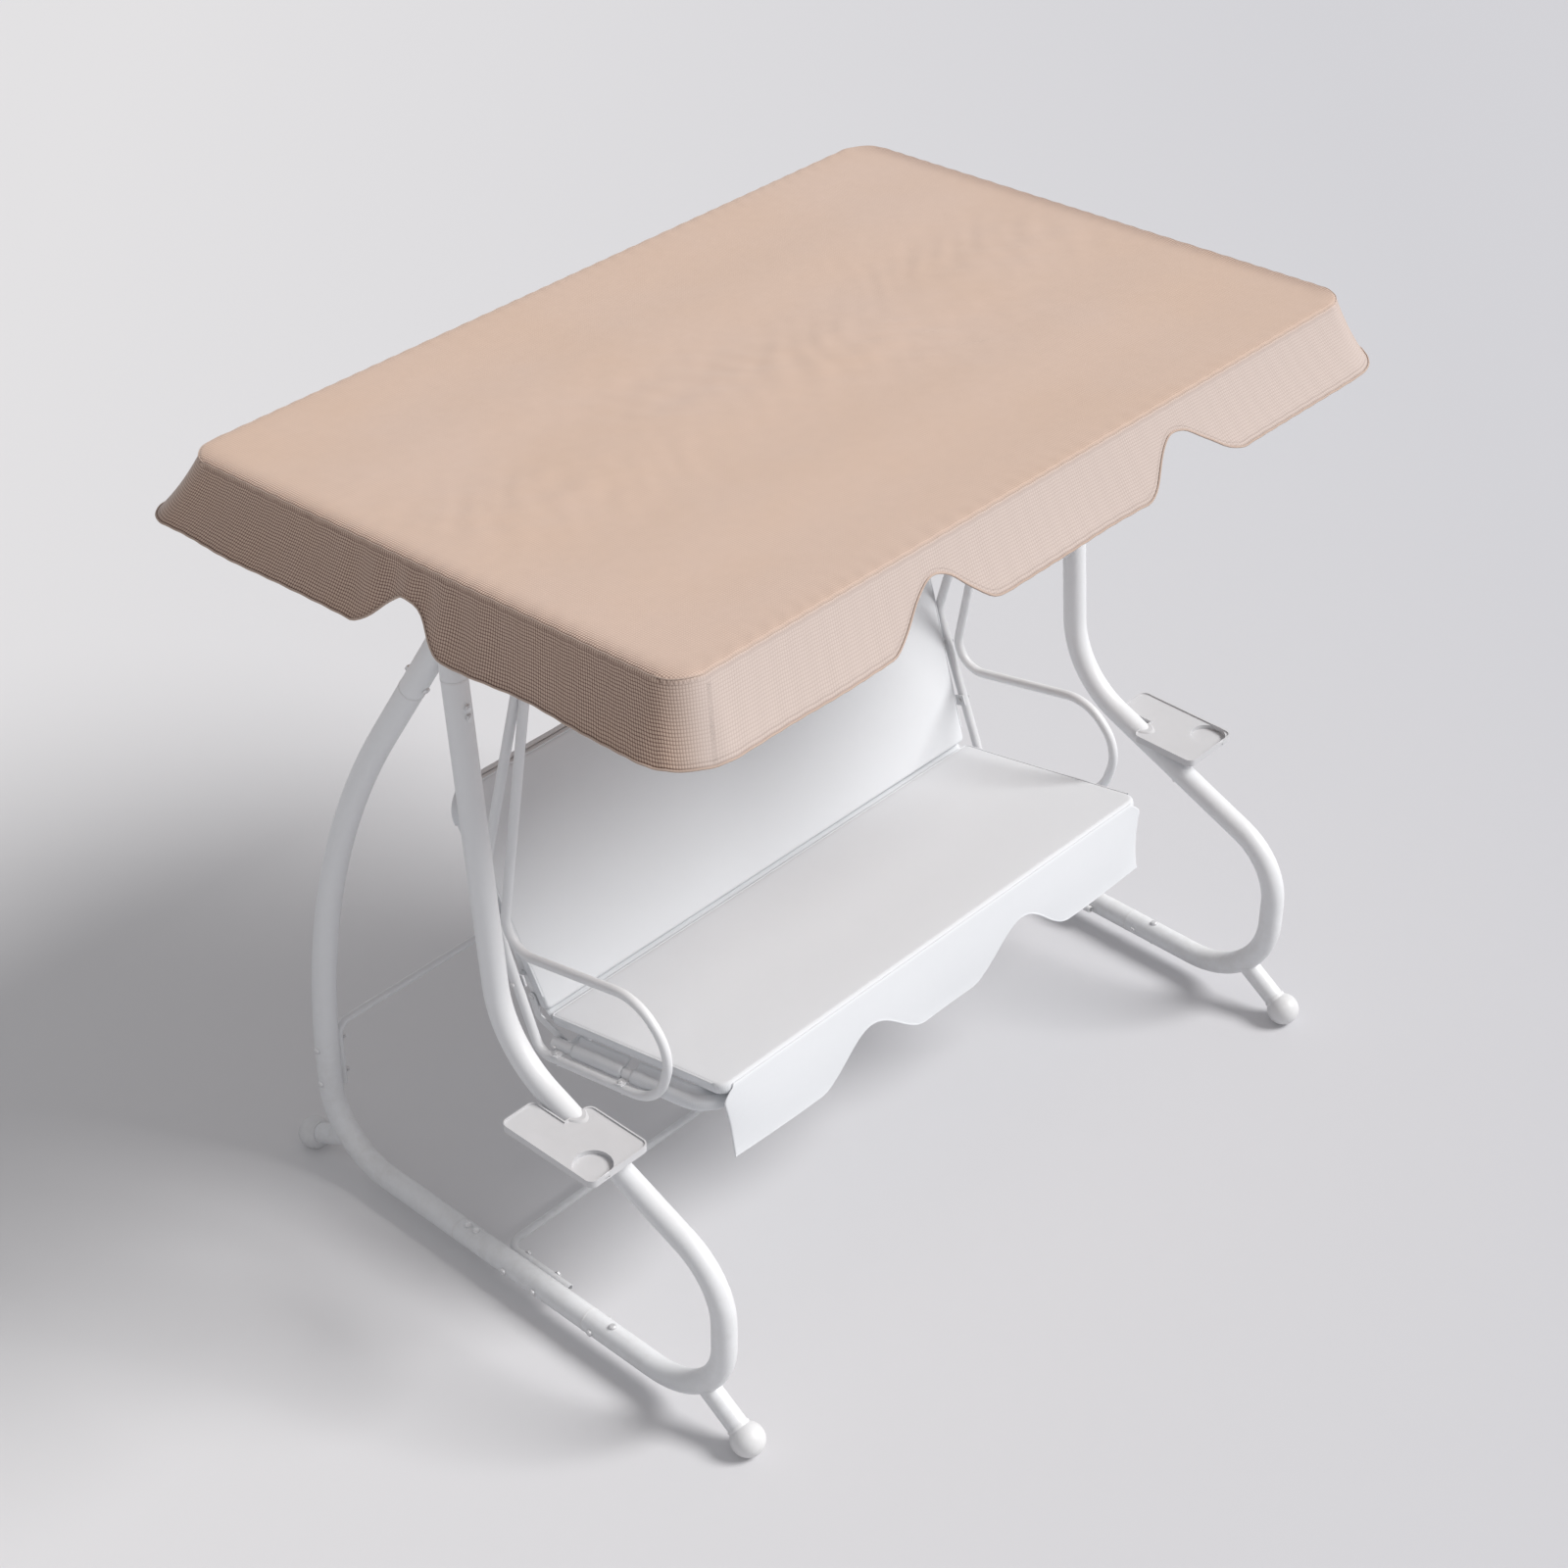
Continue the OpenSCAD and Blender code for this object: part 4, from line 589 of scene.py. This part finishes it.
def build_valance():
    """The strip at the seat's front edge: it starts on the edge's roll, which is part of an ellipse, then
    leans forward with a small belly and hangs to a hem with two scallops. Its ends are narrow at the top and
    curve in on the way down."""
    x = np.linspace(-VALANCE_HALF, VALANCE_HALF, 253)
    end = np.abs(x) / VALANCE_HALF
    below_roll = PAD_T - ROLL_FALL
    drop = VALANCE_DROP + below_roll - notch(np.abs(x), SCALLOP_X, SCALLOP_HALF, SCALLOP_H)
    rows, hem, wrap = [], [], []
    for turn in np.linspace(ROLL_START, math.pi / 2, 5):
        width = ROLL_WIDTH + ROLL_WIDENING * (turn - ROLL_START)
        forward = -SEAT_SPAN / 2 + ROLL_REACH * (1 - math.sin(turn)) - VALANCE_PROUD[0]
        up = VALANCE_PROUD[1] - ROLL_FALL * (1 - math.cos(turn))
        rows.append(seat_place(np.stack([x * width, forward + 0 * x, up + 0 * x], -1)))
        hem.append(1 + 0 * x)
        wrap.append(-ROLL_FALL * (1 - turn / (math.pi / 2)) + 0 * x)
    front = rows[-1][len(x) // 2]
    for f in np.linspace(0, 1, 25)[1:]:
        down = drop * f
        q = down / (VALANCE_DROP + below_roll)
        belly = -VALANCE_BELLY * np.sin(math.pi * np.clip(q * 1.1, 0, 1)) - VALANCE_LEAN * down
        ripple = sum(size * np.sin(count * x + phase) for size, count, phase in VALANCE_RIPPLES) * q ** 1.2
        curl = VALANCE_CURL * end ** 14 * np.sin(math.pi * q * 0.9)
        opening = HUNG_WIDTH + HUNG_WIDENING * np.sin(math.pi * np.clip(q * 2.6, 0, 0.5))
        width = opening - HUNG_NARROWING * q - HUNG_WAIST * np.sin(math.pi * q) * end ** 8
        rows.append(np.stack([x * width, front[1] + belly + ripple + curl, front[2] - down], -1))
        hem.append(drop * (1 - f))
        wrap.append(down)
    points = np.array(rows)
    uv = np.stack([points[..., 0] + VALANCE_AT[0], VALANCE_AT[1] - np.array(wrap)], -1)
    cover = surface("valance_cloth", points, uv, values={"hem": np.array(hem)}, flip=True)
    return (thicken(cover, SEAT_CLOTH_T),
            hem_tape("valance_hem", points, VALANCE_TAPE_SHIFT, VALANCE_TAPE, False))


# ---- drink trays ----
def tray_rim(name, side):
    """The rim of a tray where it passes the drink recess: along the front, round the corner with an arc, and
    back along the outside."""
    turn = np.linspace(-math.pi / 2, 0, 9)
    radius = TRAY_CORNER - RIM_INSET
    x = TRAY_OUT - TRAY_CORNER + radius * np.cos(turn)
    y = TRAY_FRONT + TRAY_CORNER + radius * np.sin(turn)
    x = np.concatenate([[TRAY_OUT - RIM_RUN], x, [TRAY_OUT - RIM_INSET]])
    y = np.concatenate([[TRAY_FRONT + RIM_INSET], y, [TRAY_FRONT + RIM_RUN]])
    out = np.stack([np.cos(turn), np.sin(turn), 0 * turn], -1)
    out = np.concatenate([out[:1], out, out[-1:]]) * (side, 1, 1)
    path = np.stack([side * x, y, np.full(len(x), TRAY_TOP - RIM_DEPTH)], -1)
    return sweep(name, path, out, RIM_SECTION, sides=12, closed=False)


# ---- node helpers ----
def join(tree, node, inputs):
    """Sets a node's inputs to values, or joins them to the outputs of other nodes."""
    for key, value in inputs.items():
        socket = node.inputs[key]
        if isinstance(value, bpy.types.NodeSocket):
            tree.links.new(value, socket)
        else:
            socket.default_value = value
    return node


def put(tree, kind, inputs=None, **settings):
    """A new node with its settings and its inputs."""
    node = tree.nodes.new(kind)
    for key, value in settings.items():
        setattr(node, key, value)
    return join(tree, node, inputs or {})


def use(tree, made_group, inputs):
    """The outputs of a node group with its inputs."""
    return put(tree, "ShaderNodeGroup", inputs, node_tree=made_group).outputs


def calc(tree, operation, *values, clamp=False):
    """The result of a calculation with one to three values."""
    inputs = dict(enumerate(values))
    return put(tree, "ShaderNodeMath", inputs, operation=operation, use_clamp=clamp).outputs[0]


def ramp(tree, value, low, high, start=0.0, end=1.0, **settings):
    """Goes from the start to the end as the value goes from low to high, and stays level beyond them."""
    inputs = {"Value": value, "From Min": low, "From Max": high, "To Min": start, "To Max": end}
    return put(tree, "ShaderNodeMapRange", inputs, **settings).outputs[0]


def scaled(tree, vector, share):
    """A vector or a colour times a number."""
    return put(tree, "ShaderNodeVectorMath", {0: vector, "Scale": share}, operation="SCALE").outputs[0]


def mix_colour(tree, share, a, b):
    return put(tree, "ShaderNodeMix", {0: share, 6: a, 7: b}, data_type="RGBA").outputs[2]


def noise(tree, place, scale, detail, **more):
    """The outputs of a noise texture."""
    inputs = {"Vector": place, "Scale": scale, "Detail": detail, **more}
    return put(tree, "ShaderNodeTexNoise", inputs).outputs


def bump(tree, height, strength, distance):
    inputs = {"Height": height, "Strength": strength, "Distance": distance}
    return put(tree, "ShaderNodeBump", inputs).outputs[0]


def object_place(tree):
    return put(tree, "ShaderNodeTexCoord").outputs["Object"]


def mesh_field(tree, name):
    """The numbers that the mesh holds under a name."""
    return put(tree, "ShaderNodeAttribute", attribute_name=name).outputs["Fac"]


def group(name, inputs, outputs):
    """An empty node group with named sockets; an input is (name, kind, value)."""
    tree = bpy.data.node_groups.new(name, "ShaderNodeTree")
    for label, kind, value in inputs:
        socket = tree.interface.new_socket(label, in_out="INPUT", socket_type="NodeSocket" + kind)
        if value is not None:
            socket.default_value = value
    for label, kind in outputs:
        tree.interface.new_socket(label, in_out="OUTPUT", socket_type="NodeSocket" + kind)
    return tree, tree.nodes.new("NodeGroupInput").outputs, tree.nodes.new("NodeGroupOutput")


def make_weave():
    """Square weave of raised cells: the product of two rectified sines, one each way, softened by a root."""
    tree, given, out = group(
        "weave",
        [("Place", "Vector", None), ("Spacing", "Float", 0.009), ("Unevenness", "Float", 0.25)],
        [("Height", "Float"), ("Gap", "Float"), ("Slub", "Float")])
    slub = noise(tree, given["Place"], 38.0, 4.0, Roughness=0.6)
    middle = {0: slub["Color"], 1: (0.5, 0.5, 0.5)}
    bend = put(tree, "ShaderNodeVectorMath", middle, operation="SUBTRACT").outputs[0]
    shift = scaled(tree, bend, calc(tree, "MULTIPLY", given["Unevenness"], WEAVE_SHIFT))
    place = put(tree, "ShaderNodeVectorMath", {0: given["Place"], 1: shift}, operation="ADD").outputs[0]
    parts = put(tree, "ShaderNodeSeparateXYZ", {0: place}).outputs
    sines = []
    for axis in (0, 1):
        turn = calc(tree, "MULTIPLY", calc(tree, "DIVIDE", parts[axis], given["Spacing"]), math.pi)
        sines.append(calc(tree, "ABSOLUTE", calc(tree, "SINE", turn)))
    height = calc(tree, "POWER", calc(tree, "MULTIPLY", *sines), 0.6)
    join(tree, out, {"Height": height, "Gap": ramp(tree, height, *WEAVE_GAP, 1.0, 0.0), "Slub": slub["Fac"]})
    return tree


def make_stitches():
    """A sewn line at a distance from an edge: a groove, with threads that dash along it."""
    tree, given, out = group(
        "stitches",
        [("Distance", "Float", 1.0), ("Along", "Float", 0.0), ("Line", "Float", 0.012),
         ("Pitch", "Float", 0.006)],
        [("Groove", "Float"), ("Thread", "Float")])
    away = calc(tree, "ABSOLUTE", calc(tree, "SUBTRACT", given["Distance"], given["Line"]))
    groove = ramp(tree, away, *GROOVE, 1.0, 0.0, interpolation_type="SMOOTHSTEP")
    near = ramp(tree, away, *STITCH, 1.0, 0.0)
    dash = calc(tree, "FRACT", calc(tree, "DIVIDE", given["Along"], given["Pitch"]))
    thread = calc(tree, "MULTIPLY", near, calc(tree, "LESS_THAN", dash, STITCH_SHARE))
    join(tree, out, {"Groove": groove, "Thread": thread})
    return tree


def make_dust():
    """Dust and scuffs: cloudy patches, stronger near the floor."""
    tree, given, out = group(
        "dust",
        [("Place", "Vector", None), ("Amount", "Float", 0.3), ("Floor reach", "Float", 0.25)],
        [("Mask", "Float"), ("Cloud", "Float")])
    cloud = noise(tree, given["Place"], 3.5, 6.0, Roughness=0.62)["Fac"]
    fine = noise(tree, given["Place"], 46.0, 5.0, Roughness=0.7)["Fac"]
    height = put(tree, "ShaderNodeSeparateXYZ", {0: given["Place"]}).outputs[2]
    low = ramp(tree, height, 0.0, given["Floor reach"], 1.0, 0.15)
    patch = ramp(tree, calc(tree, "MULTIPLY", cloud, fine), 0.2, 0.42)
    mask = calc(tree, "MULTIPLY", calc(tree, "MULTIPLY", patch, low), given["Amount"], clamp=True)
    join(tree, out, {"Mask": mask, "Cloud": cloud})
    return tree


WEAVE, STITCHES, DUST = make_weave(), make_stitches(), make_dust()


# ---- materials ----
def srgb(r, g, b):
    """A colour given in 0 to 255 display values, as linear values."""
    shares = (r / 255, g / 255, b / 255)
    return tuple(((v + 0.055) / 1.055) ** 2.4 if v > 0.04 else v / 12.92 for v in shares) + (1.0,)


def material(name, **values):
    """A material with its Principled shader, whose constant values are set on its own sockets."""
    made = bpy.data.materials.new(name)
    made.use_nodes = True
    tree = made.node_tree
    tree.nodes.clear()
    shader = put(tree, "ShaderNodeBsdfPrincipled", values)
    put(tree, "ShaderNodeOutputMaterial", {"Surface": shader.outputs[0]})
    return made, tree, shader


def powder_coat(name, colour, rough):
    """Powder coat: a fine orange peel, cloudy gloss and a little dust."""
    made, tree, shader = material(name, **{"Specular IOR Level": 0.5})
    place = object_place(tree)
    dust = use(tree, DUST, {"Place": place, "Amount": 0.35, "Floor reach": 0.5})
    peel, lumps = noise(tree, place, 620.0, 2.0)["Fac"], noise(tree, place, 140.0, 3.0)["Fac"]
    base = scaled(tree, colour[:3], ramp(tree, dust["Cloud"], 0.3, 0.7, 0.965, 1.0))
    gloss = calc(tree, "MULTIPLY_ADD", dust["Cloud"], 0.16, rough - 0.08)
    join(tree, shader, {
        "Base Color": mix_colour(tree, dust["Mask"], base, DUST_ON_STEEL),
        "Roughness": calc(tree, "MULTIPLY_ADD", dust["Mask"], 0.3, gloss),
        "Normal": bump(tree, calc(tree, "MULTIPLY_ADD", lumps, 1.6, peel), 0.12, 0.0004)})
    return made


def plated(name, colour, rough):
    """Zinc-plated steel: cloudy spangle with fine draw marks."""
    made, tree, shader = material(name, **{"Metallic": 0.55, "Specular IOR Level": 0.5})
    place = object_place(tree)
    spangle = put(tree, "ShaderNodeTexVoronoi", {"Vector": place, "Scale": 420.0}).outputs["Distance"]
    marks = noise(tree, place, 900.0, 3.0)["Fac"]
    join(tree, shader, {
        "Base Color": mix_colour(tree, spangle, colour, tuple(0.82 * c for c in colour[:3]) + (1,)),
        "Roughness": calc(tree, "MULTIPLY_ADD", marks, 0.25, rough - 0.1),
        "Normal": bump(tree, marks, 0.2, 0.0002)})
    return made


def moulded(name, colour, rough, grain):
    """Moulded plastic: fine spark-eroded grain, slight flow marks."""
    made, tree, shader = material(name, **{"Specular IOR Level": 0.5})
    place = object_place(tree)
    dust = use(tree, DUST, {"Place": place, "Amount": 0.25, "Floor reach": 0.12})
    flow = noise(tree, place, 9.0, 3.0, Distortion=1.2)["Fac"]
    base = scaled(tree, colour[:3], ramp(tree, flow, 0.3, 0.7, 0.96, 1.0))
    join(tree, shader, {
        "Base Color": mix_colour(tree, dust["Mask"], base, DUST_ON_PLASTIC),
        "Roughness": calc(tree, "MULTIPLY_ADD", flow, 0.14, rough - 0.07),
        "Normal": bump(tree, noise(tree, place, 1100.0, 2.0)["Fac"], grain, 0.0003)})
    return made


def textile(name, light, painted_shade, fade, spacing, relief, line=None, sheen=0.25, slubs=0.015, painted_sheen=None):
    """Woven cloth: raised cells over gaps darkened with painted shade, slubs in the thread and fading in soft
    patches.
    With a line, it has stitches at that distance from the hem, and their groove is darkened a little with
    painted shade. With a painted sheen colour, the mesh says where the thread is painted paler as painted
    light, and how far the gaps are darkened with painted shade."""
    made, tree, shader = material(name, **{
        "Roughness": 0.86, "Sheen Weight": sheen, "Sheen Roughness": 0.45, "Specular IOR Level": 0.25})
    uv = put(tree, "ShaderNodeUVMap", uv_map="cloth").outputs[0]
    weave = use(tree, WEAVE, {"Place": uv, "Spacing": spacing, "Unevenness": 0.25})
    cloud = noise(tree, object_place(tree), 2.6, 5.0, Roughness=0.55)["Fac"]
    thread = mix_colour(tree, ramp(tree, cloud, 0.32, 0.68), light, fade)
    ground = scaled(tree, thread, ramp(tree, weave["Slub"], 0.3, 0.7, 1 - slubs, 1 + slubs))
    gap, height = weave["Gap"], weave["Height"]
    # painted light and shade from the mesh: its fields say how far the gaps are darkened with painted shade
    # and how far the thread is painted paler as painted light
    if painted_sheen:
        shown = mesh_field(tree, "weave")
        gap = calc(tree, "MULTIPLY", gap, shown)
        height = calc(tree, "MULTIPLY", height, calc(tree, "MULTIPLY_ADD", shown, 0.6, 0.4))
        ground = mix_colour(tree, mesh_field(tree, "painted_sheen"), ground, painted_sheen)
    # painted shade: the weave's gaps are darkened towards the shade colour
    colour = mix_colour(tree, gap, ground, painted_shade)
    if line:
        along = put(tree, "ShaderNodeSeparateXYZ", {0: uv}).outputs[0]
        stitch = {"Distance": mesh_field(tree, "hem"), "Along": along, "Line": line, "Pitch": STITCH_PITCH}
        sewn = use(tree, STITCHES, stitch)
        height = calc(tree, "MULTIPLY_ADD", sewn["Groove"], -0.8, height)
        height = calc(tree, "MULTIPLY_ADD", sewn["Thread"], 0.8, height)
        # painted shade: the stitch groove is darkened a little towards the shade colour
        colour = mix_colour(tree, calc(tree, "MULTIPLY", sewn["Groove"], 0.10), colour, painted_shade)
    join(tree, shader, {"Base Color": colour, "Normal": bump(tree, height, relief, spacing * 0.16)})
    return made


STEEL = powder_coat("white_powder_coat", srgb(226, 227, 229), 0.42)
PLATED = plated("zinc_plate", srgb(228, 228, 229), 0.42)
TRAY = moulded("white_tray_plastic", srgb(204, 204, 206), 0.34, 0.10)
FOOT = moulded("white_foot_plastic", srgb(222, 222, 223), 0.46, 0.25)
KNOB = moulded("dark_knob_plastic", srgb(62, 62, 64), 0.52, 0.40)
# painted light and shade: the second colour darkens the weave's gaps as painted shade, and the last is the
# paler thread of the front and rear skirts, a painted sheen of light
CANOPY = textile("canopy_textile", srgb(207, 182, 166), srgb(112, 84, 74), srgb(206, 179, 160), 0.0052, 0.6,
                 line=0.0105, painted_sheen=srgb(199, 184, 176))
BINDING = textile("canopy_binding", srgb(202, 182, 169), srgb(170, 148, 134), srgb(192, 170, 156),
                  0.0022, 0.3)
SEAT = textile("seat_textile", srgb(224, 226, 229), srgb(212, 214, 217), srgb(222, 224, 227), 0.0026, 0.2,
               line=0.009, sheen=0.15, slubs=0.006)
SEAT_TRIM = textile("seat_binding", srgb(226, 228, 231), srgb(212, 214, 217), srgb(222, 224, 227),
                    0.0016, 0.3, sheen=0.15, slubs=0.006)

FINISHES = {
    "frame_steel": STEEL, "plated_steel": PLATED, "tray_plastic": TRAY, "foot_plastic": FOOT,
    "knob_plastic": KNOB, "seat_fabric": SEAT, "canopy_fabric": CANOPY,
}


def dress(piece, finish):
    piece.data.materials.clear()
    piece.data.materials.append(finish)


# ---- construction parts get their finishes ----
for part in frame["record"]["subparts"]:
    holder = nodes.get(part.get("node") or part.get("name"))
    if holder is not None and part.get("material_slot") in FINISHES:
        dress(holder, FINISHES[part["material_slot"]])

# ---- soft pieces ----
canopy, canopy_piping, canopy_hem = build_canopy()
for piece, finish in ((canopy, CANOPY), (canopy_piping, BINDING), (canopy_hem, BINDING)):
    dress(piece, finish)
    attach(piece, "roof")
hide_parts("canopy_fabric")

seat_cover, seat_piping = pad("seat", (SEAT_HALF_W, SEAT_D / 2), SEAT_CORNERS, seat_place)
back_cover, back_piping = pad("back", (BACK_TOP_HALF, BACK_LEN / 2 - SEAM_GAP), BACK_CORNERS, back_place)
sleeves = [seat_sleeve(f"seat_sleeve_{place}_{word}", *span, side)
           for word, side in (("left", -1), ("right", 1)) for place, *span in SLEEVE_SPANS]
roll = back_roll()
fold = seat_fold()
valance, valance_hem = build_valance()
for piece in (seat_cover, back_cover, valance, roll, fold, *sleeves):
    dress(piece, SEAT)
for piece in (seat_piping, back_piping, valance_hem):
    dress(piece, SEAT_TRIM)
for piece in (seat_cover, seat_piping, back_cover, back_piping, valance, valance_hem, roll, fold, *sleeves):
    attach(piece, "seat")
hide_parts("seat_sling")
for cloth in sleeves:
    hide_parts("seat_sleeves")
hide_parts("back_sling")
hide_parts("seat_valance")

# ---- drink trays ----
for name, side in (("tray_rim_left", -1), ("tray_rim_right", 1)):
    rim = tray_rim(name, side)
    dress(rim, TRAY)
    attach(rim, "stand")


# ---- floor, light and camera ----
def build_floor():
    """A wide floor with painted light: its tone grows lighter along one direction, as light that falls off
    across it, and it glows a little to the camera only.
    """
    corners = [(x * FLOOR_HALF, y * FLOOR_HALF, 0) for x, y in ((-1, -1), (1, -1), (1, 1), (-1, 1))]
    mesh = bpy.data.meshes.new("floor")
    mesh.from_pydata(corners, [], [(0, 1, 2, 3)])
    floor = placed("floor", mesh)
    made, tree, shader = material("floor_paint", **{"Roughness": 0.85, "Specular IOR Level": 0.2})
    # painted light: the floor is painted lighter along this direction and darker against it
    fade = {0: object_place(tree), 1: FLOOR_PAINTED_LIGHT}
    across = put(tree, "ShaderNodeVectorMath", fade, operation="DOT_PRODUCT").outputs["Value"]
    share = ramp(tree, across, FLOOR_PAINTED_LIGHT_FROM, FLOOR_PAINTED_LIGHT_TO)
    join(tree, shader, {"Base Color": mix_colour(tree, share, srgb(200, 200, 204), srgb(217, 216, 217))})
    glow = put(tree, "ShaderNodeEmission", {"Color": srgb(216, 215, 217), "Strength": 1.0})
    seen = calc(tree, "MULTIPLY", put(tree, "ShaderNodeLightPath").outputs["Is Camera Ray"], FLOOR_GLOW)
    both = put(tree, "ShaderNodeMixShader", {0: seen, 1: shader.outputs[0], 2: glow.outputs[0]})
    output = next(n for n in tree.nodes if n.type == "OUTPUT_MATERIAL")
    join(tree, output, {"Surface": both.outputs[0]})
    floor.data.materials.append(made)


def key_light(towards, width, strength, colour):
    """A far, wide lamp: its direction is given as the way to it, and its width as an angle."""
    data = bpy.data.lights.new("key", "SUN")
    data.angle = width
    data.energy = strength
    data.color = colour
    lamp = placed("key", data)
    tilt = math.atan2(math.hypot(*towards[:2]), towards[2])
    lamp.rotation_euler = (tilt, 0, math.atan2(towards[1], towards[0]) + math.pi / 2)


def build_sky():
    """An even sky, brighter where the camera or a reflection sees it."""
    world = bpy.data.worlds.new("studio")
    world.use_nodes = True
    tree = world.node_tree
    rays = put(tree, "ShaderNodeLightPath").outputs
    shown = calc(tree, "MAXIMUM", rays["Is Camera Ray"], rays["Is Glossy Ray"])
    strength = calc(tree, "MULTIPLY_ADD", shown, SKY_SHOWN, SKY_STRENGTH)
    join(tree, tree.nodes["Background"], {"Color": SKY, "Strength": strength})
    bpy.context.scene.world = world


def build_camera():
    data = bpy.data.cameras.new("camera")
    data.lens, data.sensor_width = LENS, SENSOR
    camera = placed("camera", data)
    camera.location = CAMERA_AT
    camera.rotation_euler = (CAMERA_PITCH, 0.0, CAMERA_TURN)
    bpy.context.scene.camera = camera


build_floor()
key_light(SUN_TOWARDS, SUN_WIDTH, SUN_STRENGTH, (1.0, 0.99, 0.98))
build_sky()
build_camera()
bpy.context.scene.view_settings.view_transform = "Standard"
